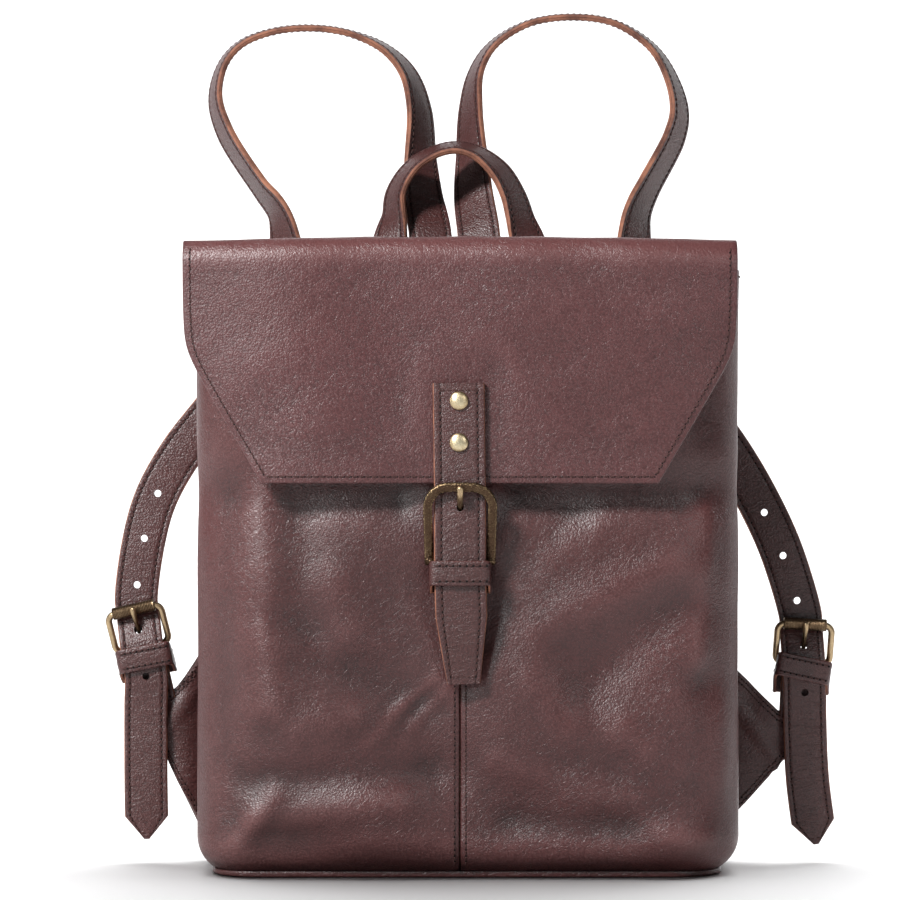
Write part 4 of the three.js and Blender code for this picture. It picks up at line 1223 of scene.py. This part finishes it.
# ---- buckles --------------------------------------------------------------------------------------
def folded_chape(path, width):
    """A strip of leather folded round a bar, along a path in y and z."""
    route = [(0, y, z, 0) for y, z in path]
    strip = Strap(route, width, 2.0, step=1.2, channel=2.6)
    strip.across = np.tile((1.0, 0, 0), (len(strip.centres), 1))
    forward = unit(np.gradient(strip.centres, axis=0))
    strip.normals = np.cross(forward, strip.across)
    return strip


def eye_slot(half):
    """A round cutter along X that opens the fold for a prong's eye."""
    radius = 5.2
    block = turned([(-half, 0), (-half, radius), (half, radius), (half, 0)], 20)
    block["points"] = block["points"] + (0, 0, 0.8)
    return block


def straight_row(place, start, end, facing):
    """A straight stitch row between two points in a buckle's axes."""
    return stitch_part(place.points([start, end]), np.tile(facing, (2, 1)))


def make_closure_chape(place):
    """The chape behind the closure strap, sewn down in a rectangle."""
    path = [(5.0, -50), (5.1, -28), (1.6, -17), (0.2, -11), (-2.6, -3.5), (-2.9, 1.2), (0, 3.1),
            (2.9, 1.2), (3.0, -3.5), (3.1, -11), (3.8, -17), (7.1, -28), (7.0, -50)]
    strip = folded_chape(path, 26.0)
    strip.scale = 1 - 0.24 * smooth(-strip.centres[:, 2], 26, 42)
    piece = build("closure_chape_leather", [place.part(strip.part())], [STRAP_LEATHER, TAN_EDGE])
    cut(piece, [place.part(eye_slot(2.7))], DARK_EDGE)
    dress(piece, "bag", "strap_leather", "closure_chape")
    half, face, high, low = 7.5, 3.9, -30.0, -47.0
    rows = [straight_row(place, (-half, face, z), (half, face, z), FRONT) for z in (high, low)]
    rows += [straight_row(place, (x, face, high), (x, face, low), FRONT) for x in (-half, half)]
    threads_on("bag", "strap_leather", "closure_chape_stitches", rows)


KEEPER_WALL, KEEPER_TALL, KEEPER_FRONT = 1.8, 13.4, -9.2
KEEPER_MIDDLE = (0, 0, -4.4 - KEEPER_TALL / 2)  # below the buckle's bar


def settled(points, skew, slid):
    """Skews a keeper's front and slides it up the strap, while its back stays where it is sewn."""
    rise = smooth(-points[:, 1:2], 2.0, 10.0)
    moved = (points - KEEPER_MIDDLE) @ about_y(-skew) + KEEPER_MIDDLE + (0, 0, slid)
    return points * (1 - rise) + moved * rise


def make_keeper(name, place, half, back, body, skew, slid):
    """A leather loop round the strap, stitched along both edges of its front, which bulges."""
    mid, width = KEEPER_WALL / 2, 2 * half + 4
    left, right, rear, front = -half - mid, half + mid, back + mid, KEEPER_FRONT - mid
    path = rounded([(left, rear), (left, front), (right, front), (right, rear)],
                   [1.6, 2.6, 2.6, 1.6], closed=True, steps=8)
    ring = np.vstack([path, path[:1]])
    path = sample(ring, np.arange(0, lengths(ring)[-1] - 0.6, 1.3))
    bulge = 0.7 * np.clip(-path[:, 1] / 10, 0, 1) * np.cos(np.pi * path[:, 0] / width)
    centres = np.column_stack([path[:, 0], path[:, 1] - bulge,
                               np.full(len(path), KEEPER_MIDDLE[2])])
    forward = unit(np.roll(centres, -1, 0) - np.roll(centres, 1, 0))
    up = np.tile((0.0, 0, 1.0), (len(path), 1))
    normals = np.cross(forward, up)
    if normals[np.argmin(path[:, 1])] @ FRONT < 0:
        normals = -normals
    section, kinds, wear_and_shade = keeper_section(KEEPER_TALL / 2, mid)
    band = sweep(centres, up, normals, section, closed=True, indices=kinds, wear_and_shade=wear_and_shade)
    band["points"] = settled(band["points"], skew, slid)
    build_on(body, "strap_leather", name + "_leather", [place.part(band)],
             [STRAP_LEATHER, TAN_EDGE], name)
    x = np.linspace(-half + 0.6, half - 0.6, 30)
    y = front - 0.7 * np.cos(np.pi * x / width) - mid + 0.05
    rows = []
    for height in (KEEPER_TALL / 2 - 2.5, 2.5 - KEEPER_TALL / 2):
        line = np.column_stack([x, y, np.full(30, KEEPER_MIDDLE[2] + height)])
        line = place.points(settled(line, skew, slid))
        rows.append(stitch_part(line, np.tile(FRONT, (30, 1))))
    threads_on(body, "strap_leather", name + "_stitches", rows)


def keeper_section(half, mid):
    """A keeper's section, the material of each of its sides, and its wear.

    It is a slightly crowned band with a groove for each stitch row, and its edges are rounded.
    """
    across = np.array([-1, -0.955, -0.88, -0.64, -0.3, 0, 0.3, 0.64, 0.88, 0.955, 1]) * half
    height = mid - np.array([0.6, 0.22, 0, 0.28, 0.06, 0, 0.06, 0.28, 0, 0.22, 0.6])
    under = [(half, -mid + 0.5), (half - 0.4, -mid), (-half + 0.4, -mid), (-half, -mid + 0.5)]
    kinds = [0] * 10 + [1, 1, 0, 1, 1]
    wear_and_shade = np.concatenate([0.3 * bump_at(np.abs(across), half, 0.5), np.zeros(4)])
    return list(zip(across, height)) + under, kinds, wear_and_shade


def prong_parts(path, radius, eye_inner, eye_half):
    """A prong: an eye round the bar, and a tongue that thickens towards its rounded tip."""
    points = np.array([(0, y, z) for y, z in path], float)
    soft = catmull(np.column_stack([points, np.zeros(len(points))]), 10)[:, :3]
    total = lengths(soft)[-1]
    stations = np.append(np.linspace(0, total - radius, 26),
                         total - radius * np.array([0.7, 0.4, 0.15, 0.02]))
    line = sample(soft, stations)
    left = np.clip((total - stations) / radius, 0, 1)
    to_tip = smooth(stations, total * 0.5, total)
    radii = radius * np.sqrt(1 - (1 - left) ** 2) * (0.95 + 0.4 * to_tip)
    sides = 16
    tongue = tube(line, np.maximum(radii, 0.05), (1, 0, 0), sides)
    tongue["wear_and_shade"] = np.repeat(to_tip, sides)
    outer, bevel = eye_inner + 1.75, 0.4
    eye = turned([(-eye_half, eye_inner), (-eye_half, outer - bevel), (-eye_half + bevel, outer),
                  (eye_half - bevel, outer), (eye_half, outer - bevel), (eye_half, eye_inner)], 24)
    return [tongue, eye]


def make_closure_buckle():
    """The closure's cast frame with its bar, its prong, its chape and its keeper."""
    place = Place(CLOSURE_AT)
    foot, high, far, count = 16.8, 41.2, 18.05, 90
    path = rounded([(-foot, -1.2), (-far, high), (far, high), (foot, -1.2)],
                   [0, 10.6, 10.6, 0], steps=14)
    path = sample(path, np.linspace(0, lengths(path)[-1], count))
    crown = 0.9 * (1 - (path[:, 0] / 18) ** 2) * smooth(path[:, 1], 31, 41)
    centres = np.column_stack([path[:, 0], np.zeros(count), path[:, 1] + crown])
    forward = unit(np.gradient(centres, axis=0))
    depth = np.tile(FRONT, (count, 1))
    section = rounded([(-2.45, -1.6), (2.45, -1.6), (2.45, 1.6), (-2.45, 1.6)],
                      [0.7, 0.7, 1.1, 1.1], closed=True, steps=4)
    wear_and_shade = 1.1 * smooth(np.abs(section[:, 0]), 1.5, 2.4) * (section[:, 1] > 0.4)
    band = sweep(centres, np.cross(depth, forward), depth, section, wear_and_shade=wear_and_shade)
    bar = turned([(-19.4, 0), (-19.4, 1.9), (-18.8, 2.5), (-15.4, 2.5), (-15.0, 1.7), (15.0, 1.7),
                  (15.4, 2.5), (18.8, 2.5), (19.4, 1.9), (19.4, 0)])
    parts = [place.part(dict(p, points=tipped(p["points"], CLOSURE_TILT))) for p in (band, bar)]
    build_on("closure_frame", "aged_brass", "closure_buckle_cast_frame", parts, [FRAME_BRASS],
             "closure_buckle_frame")
    tongue = [place.part(p) for p in prong_parts(CLOSURE_PRONG, 1.4, 1.95, 2.1)]
    build_on("closure_prong", "aged_brass", "closure_buckle_tongue", tongue, [WIRE_BRASS],
             "closure_buckle_prong")
    make_closure_chape(place)
    make_keeper("closure_keeper", place, 15.2, 5.1, "bag", 0.0, 4.6)


def make_strap_buckle(side, place):
    """A roller buckle: a bent wire frame, a tube that turns on its far side, and a prong."""
    half, far, sides = 15.5, 23, 14
    corners = [(-half, 0), (half, 0), (half, far), (-half, far)]
    path = rounded(corners, [4.0, 4.0, 4.6, 4.6], closed=True, steps=8)
    ring = np.vstack([path, path[:1]])
    path = sample(ring, np.arange(0, lengths(ring)[-1] - 0.5, 1.0))
    centres = tipped(np.column_stack([path[:, 0], np.zeros(len(path)), path[:, 1]]), STRAP_TILT)
    facing = tipped([FRONT], STRAP_TILT)[0]
    wire = tube(centres, STRAP_WIRE, facing, sides, closed=True)
    turn = np.linspace(0, 2 * np.pi, sides, endpoint=False)
    wire["wear_and_shade"] = np.tile(np.clip(np.sin(turn), 0, 1), len(path))
    build_on("strap_" + side, "aged_brass", "strap_buckle_wire_" + side, [place.part(wire)],
             [WIRE_BRASS], "strap_buckle_frame_" + side)
    shell = turned(roller_profile(), 32)
    shell["points"] = tipped(shell["points"] + (0, 0, far), STRAP_TILT)
    build_on("roller_" + side, "aged_brass", "strap_buckle_tube_" + side, [place.part(shell)],
             [WIRE_BRASS], "strap_buckle_roller_" + side)
    parts = [place.part(p) for p in prong_parts(STRAP_PRONG, 1.3, 2.15, 1.9)]
    build_on("prong_" + side, "aged_brass", "strap_buckle_tongue_" + side, parts, [WIRE_BRASS],
             "strap_buckle_prong_" + side)


def roller_profile():
    """The roller's wall: a rolled tube with turned-in ends and fine ribs along it."""
    half, outer, inner, round_off, pitch, rib = 12.3, 3.6, 2.25, 0.5, 0.9, 0.09
    ribs = []
    for x in np.arange(-half + pitch, half - 0.8, pitch / 2):
        ribs.append((x, outer - rib * (1 + math.sin(x * 2 * math.pi / pitch))))
    start = [(-half, inner), (-half, outer - round_off), (-half + round_off, outer)]
    end = [(half - round_off, outer), (half, outer - round_off), (half, inner)]
    return start + ribs + end


# ---- shoulder straps ------------------------------------------------------------------------------
def make_strap_chape(side, place):
    """The chape that holds a roller buckle, sewn through along both edges."""
    path = [(-1.0, -32), (-1.2, -14), (-1.5, -8), (-3.0, -3), (-3.0, 1.3), (0, 3.3), (3.0, 1.3),
            (3.0, -3), (1.2, -8), (0.9, -14), (1.0, -32)]
    strip = folded_chape(path, 23.0)
    piece = build("strap_chape_leather_" + side, [place.part(strip.part())],
                  [STRAP_LEATHER, TAN_EDGE])
    cut(piece, [place.part(eye_slot(2.5))], DARK_EDGE)
    dress(piece, "strap_" + side, "strap_leather", "strap_chape_" + side)
    rows = []
    for x in (-8.9, 8.9):
        for face in (FRONT, BACK):
            y = 1.95 * face[1]
            rows.append(straight_row(place, (x, y, -10), (x, y, -31), face))
    threads_on("strap_" + side, "strap_leather", "strap_chape_stitches_" + side, rows)


def hole_cutters(strap, place):
    """Punched holes: three above the one in use and one below it, a pitch apart."""
    used = place.points([(0, -3.6, 10)])[0]
    nearest = strap.along[np.argmin(np.linalg.norm(strap.centres - used, axis=1))]
    parts = []
    for k in (-3, -2, -1, 1):
        at = sample_with(strap.along, strap.centres, np.array([nearest + k * HOLE_PITCH]))[0]
        drill = turned([(-7, 0), (-7, HOLE), (7, HOLE), (7, 0)], 20)
        drill["points"] = drill["points"][:, [1, 0, 2]] + at
        parts.append(drill)
    return parts


def make_shoulder_strap(side):
    """One shoulder strap with its buckle, chape, keeper and side tab."""
    facts = SIDES[side]
    place = Place(facts["bar"], facts["lean"])
    through = place.points([(facts["drift"] * (z - 2), y, z) for y, z in STRAP_THROUGH])
    route = LOOP[side] + [(*p, 0) for p in through] + TAIL[side]
    strap = Strap(route, STRAP_WIDTH, side=-facts["sign"], taper=13, tip=3)
    piece = build("shoulder_strap_leather_" + side, [strap.part()], [STRAP_LEATHER, TAN_EDGE])
    cut(piece, hole_cutters(strap, place) + [along_prong(place, STRAP_PRONG, 2.5, 4.0)], DARK_EDGE)
    seam = (("bag", "strap_" + side), (facts["sign"], 1, 0.3), 168.0, 214.0)
    bent(piece, *seam, "strap_leather", "shoulder_strap_" + side, "strap_end_" + side)
    threads = build("shoulder_strap_stitches_" + side,
                    strap.stitch_rows(1) + strap.stitch_rows(-1), [THREAD_BROWN])
    bent(threads, *seam, "strap_leather")
    make_strap_buckle(side, place)
    make_strap_chape(side, place)
    make_keeper("strap_keeper_" + side, place, 14.3, 3.7, "strap_" + side, facts["skew"],
                facts["slid"])
    make_side_tab(side, place, facts["sign"])


def make_side_tab(side, place, sign):
    """The wing that holds the buckle: sewn flat on the back, and bent forward past the corner."""
    sewn, corner = 126.0, 149.0  # x of its sewn edge and of the body's corner
    corner_top, corner_low = 120.0, 17.0  # z of its upper and lower edges at the corner
    inner, outer = place.points([(-sign * 12.5, 0, -28.2), (sign * 12.5, 0, -28.2)])
    joint = (inner + outer) / 2
    inner_x, outer_x = abs(inner[0]), abs(outer[0])
    low_x, low_z = abs(joint[0]) + 2, joint[2] - 16
    x = lines(sewn, outer_x, 2.4)
    top = tab_edge(x, (corner, corner_top), (inner_x, inner[2]), (outer_x, outer[2]))
    low = tab_edge(x, (corner, corner_low), (low_x, low_z), (outer_x, outer[2] - 2))
    v = lines(0, 100, 2.4)
    z = low + (top - low) * v[:, None] / 100
    wide = x[None, :] + 0 * z
    waves = (0.9 * ripple(wide, z, 40, 61 + sign) - 0.4) * smooth(wide, 150, 165)
    y = 53.0 - 5.0 * smooth(wide, 145, 160) + waves
    from_fold = (wide - 160) * 0.8 + (z - 88) * 0.6
    fold = 1.6 * bump_at(from_fold, 0, 3.0) * smooth(wide, 150, 158)
    grid = np.stack([wide * sign, y - fold, z], axis=-1)
    sheet = Sheet(x, v, grid, (0, -200, 60), 4.4, edge=1.1)
    build_on("bag", "body_leather", "side_tab_leather_" + side, [sheet.part()],
             [STRAP_LEATHER, DARK_EDGE], "side_tab_" + side)
    threads_on("bag", "body_leather", "side_tab_stitches_" + side, tab_rows(sheet, x, top - low))


def tab_edge(x, corner, bend, end):
    """The height of a tab's upper or lower edge: flatter on the back, then straight to each point."""
    slope = (corner[1] - bend[1]) / (corner[0] - bend[0])
    past = np.interp(x, [bend[0], end[0]], [bend[1], end[1]])
    height = np.where(x < bend[0], corner[1] + slope * (x - corner[0]), past)
    return np.where(x < corner[0], corner[1] + 0.35 * slope * (x - corner[0]), height)


def tab_rows(sheet, x, tall):
    """Two stitch rows along the upper and lower edges, on both faces, and two down the sewn edge."""
    rows = []
    flip = Sheet(sheet.u, sheet.v, sheet.grid - sheet.normals * sheet.thickness, (0, 300, 60), 1.0)
    over, up = np.arange(x[0] + 4, x[-1] - 7, ROW_STEP), np.arange(4, 96, ROW_STEP)
    height = np.interp(over, x, tall)
    for face in (sheet, flip):
        for inset in (2.8, 6.0):
            share = 100 * inset / height
            rows += [row_on(face, over, share), row_on(face, over, 100 - share)]
    return rows + [row_on(sheet, x[0] + inset, up) for inset in (3.0, 16.0)]


# ---- handle and anchor patch ----------------------------------------------------------------------
def make_handle():
    """The grab handle and its stitches."""
    strap = Strap(ARCH, 22.0, side=-1, step=2.4)
    piece = build("handle_leather", [strap.part()], [STRAP_LEATHER, TAN_EDGE])
    seam = (("bag", "handle"), (0, 0, 1), 340.0, 358.0)
    bent(piece, *seam, "strap_leather", "handle", "handle_end_left", "handle_end_right")
    rows = strap.stitch_rows(1, end=2) + strap.stitch_rows(-1, end=2)
    threads = build("handle_stitches", rows, [THREAD_BROWN])
    bent(threads, *seam, "strap_leather")


def make_anchor_patch():
    """The patch over the sewn ends, moulded over them, with a stitch row round its edge."""
    bottom, top = 304, 343
    u, v = lines(-1, 1, 0.03, edge=EDGE_STEPS / 60), lines(bottom, top, 2.0)
    half = np.interp(v, [bottom, top], [52, 66])[:, None]
    x = half * u[None, :]
    z = v[:, None] + 0 * x
    over = np.zeros_like(x)
    for middle, wide in ((-40, 11), (-16, 12.2), (12, 12.2), (41, 11)):
        over = np.maximum(over, 1 - smooth(np.abs(x - middle), wide, wide + 5))
    over = over * smooth(z, 308, 318)
    y = 50.6 + 6.4 * over + 2.2 * smooth(z, 330, 345) * (1 - over)
    sheet = Sheet(u, v, np.stack([x, y, z], axis=-1), (0, -200, 320), 2.0)
    build_on("bag", "body_leather", "anchor_patch_leather", [sheet.part()],
             [BODY_LEATHER, TAN_EDGE], "anchor_patch")
    side, inset = 0.94, 3
    across, up = np.linspace(-side, side, 150), np.linspace(bottom + inset, top - inset, 30)
    rows = [row_on(sheet, across, height) for height in (bottom + inset, top - inset)]
    rows += [row_on(sheet, at, up) for at in (-side, side)]
    threads_on("bag", "body_leather", "anchor_patch_stitches", rows)


# ---- carried-over CAD nodes -------------------------------------------------------------------------
def dress_cad_nodes():
    """The hidden nodes that keep their CAD meshes get finished materials."""
    for name, material in (("base_board", BOARD), ("rivet_post_upper", RIVET_BRASS),
                           ("rivet_post_lower", RIVET_BRASS)):
        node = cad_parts[name]
        node.data.materials.clear()
        node.data.materials.append(material)


# ---- camera, floor and light ------------------------------------------------------------------------
def make_camera():
    """A long lens, level with the middle of the bag."""
    data = bpy.data.cameras.new("camera")
    data.lens = 146.0
    data.sensor_width = 36.0
    data.clip_end = 50.0
    camera = bpy.data.objects.new("camera", data)
    camera.location = (-0.0055, -2.05, 0.2355)
    camera.rotation_euler = (math.radians(90), 0, 0)
    bpy.context.scene.collection.objects.link(camera)
    bpy.context.scene.camera = camera


def make_floor():
    """A pale floor that curves up into a backdrop."""
    s = Surface("pale_floor")
    mottle = s.noise(9, 3, 0.5)
    tint = s.mixed(mottle, colour(0.93, 0.93, 0.935), colour(0.95, 0.95, 0.95))
    material = s.finish(tint, s.span(mottle, 0, 1, 0.7, 0.8), s.bump(mottle, 0.00005, 0.2),
                        Specular_IOR_Level=0.2)
    profile = rounded([(-4000, 0), (3200, 0), (3200, 4200)], [0, 1200, 0], steps=20)
    points = [(x, y, z - 0.4) for y, z in profile for x in (-5000, 5000)]
    faces = [(2 * i, 2 * i + 1, 2 * i + 3, 2 * i + 2) for i in range(len(profile) - 1)]
    floor = mesh_object("floor", points, faces, [material])
    return floor


def area_light(name, at, target, size, power, floor, lights_floor=False, gloss_only=False):
    """A soft box aimed at a target. It lights the bag or the floor, or shows as gloss only."""
    data = bpy.data.lights.new(name, "AREA")
    data.shape = "RECTANGLE"
    data.size, data.size_y = size
    data.energy = power
    light = bpy.data.objects.new(name, data)
    light.location = at
    aim = Vector(target) - Vector(at)
    light.rotation_euler = aim.to_track_quat("-Z", "Y").to_euler()
    light.visible_diffuse = not gloss_only
    bpy.context.scene.collection.objects.link(light)
    linked = bpy.data.collections.new("lit_by_" + name)
    linked.objects.link(floor)
    link = linked.collection_objects[0].light_linking
    link.link_state = "INCLUDE" if lights_floor else "EXCLUDE"
    light.light_linking.receiver_collection = linked


def make_lights(floor):
    """A key light from the upper left, weak side and rim lights, and two glints on the leather."""
    middle = (0, 0, 0.2)  # of the bag, in metres
    area_light("key", (-1.2, -1.45, 1.75), middle, (0.42, 0.42), 84, floor)
    area_light("side", (-2.1, -0.4, 0.5), middle, (0.3, 1.0), 6, floor)
    area_light("rim", (1.9, 0.9, 0.9), middle, (0.4, 1.0), 6, floor)
    area_light("sheen_left", (-1.05, -1.95, 0.85), middle, (0.4, 0.7), 17, floor, gloss_only=True)
    area_light("sheen_right", (1.25, -1.9, 1.05), middle, (0.35, 0.7), 9, floor, gloss_only=True)
    area_light("overhead", (0, 0.8, 2.4), (0, 0.7, 0), (3.8, 2.4), 122, floor, lights_floor=True)
    area_light("backdrop", (0, 1.2, 2.6), (0, 3.2, 0.7), (3.2, 0.8), 48, floor, lights_floor=True)
    world = bpy.data.worlds.new("studio")
    world.use_nodes = True
    background = world.node_tree.nodes["Background"]
    background.inputs["Color"].default_value = colour(0.95, 0.97, 1.0)
    background.inputs["Strength"].default_value = 0.07
    bpy.context.scene.world = world
    bpy.context.scene.view_settings.view_transform = "Standard"


make_camera()
make_lights(make_floor())
for side_name in SIDES:
    make_front_half(side_name)
    make_shoulder_strap(side_name)
make_back_panel()
make_base()
make_inside()
make_flap()
make_rivets()
make_closure_strap()
make_closure_buckle()
make_handle()
make_anchor_patch()
dress_cad_nodes()
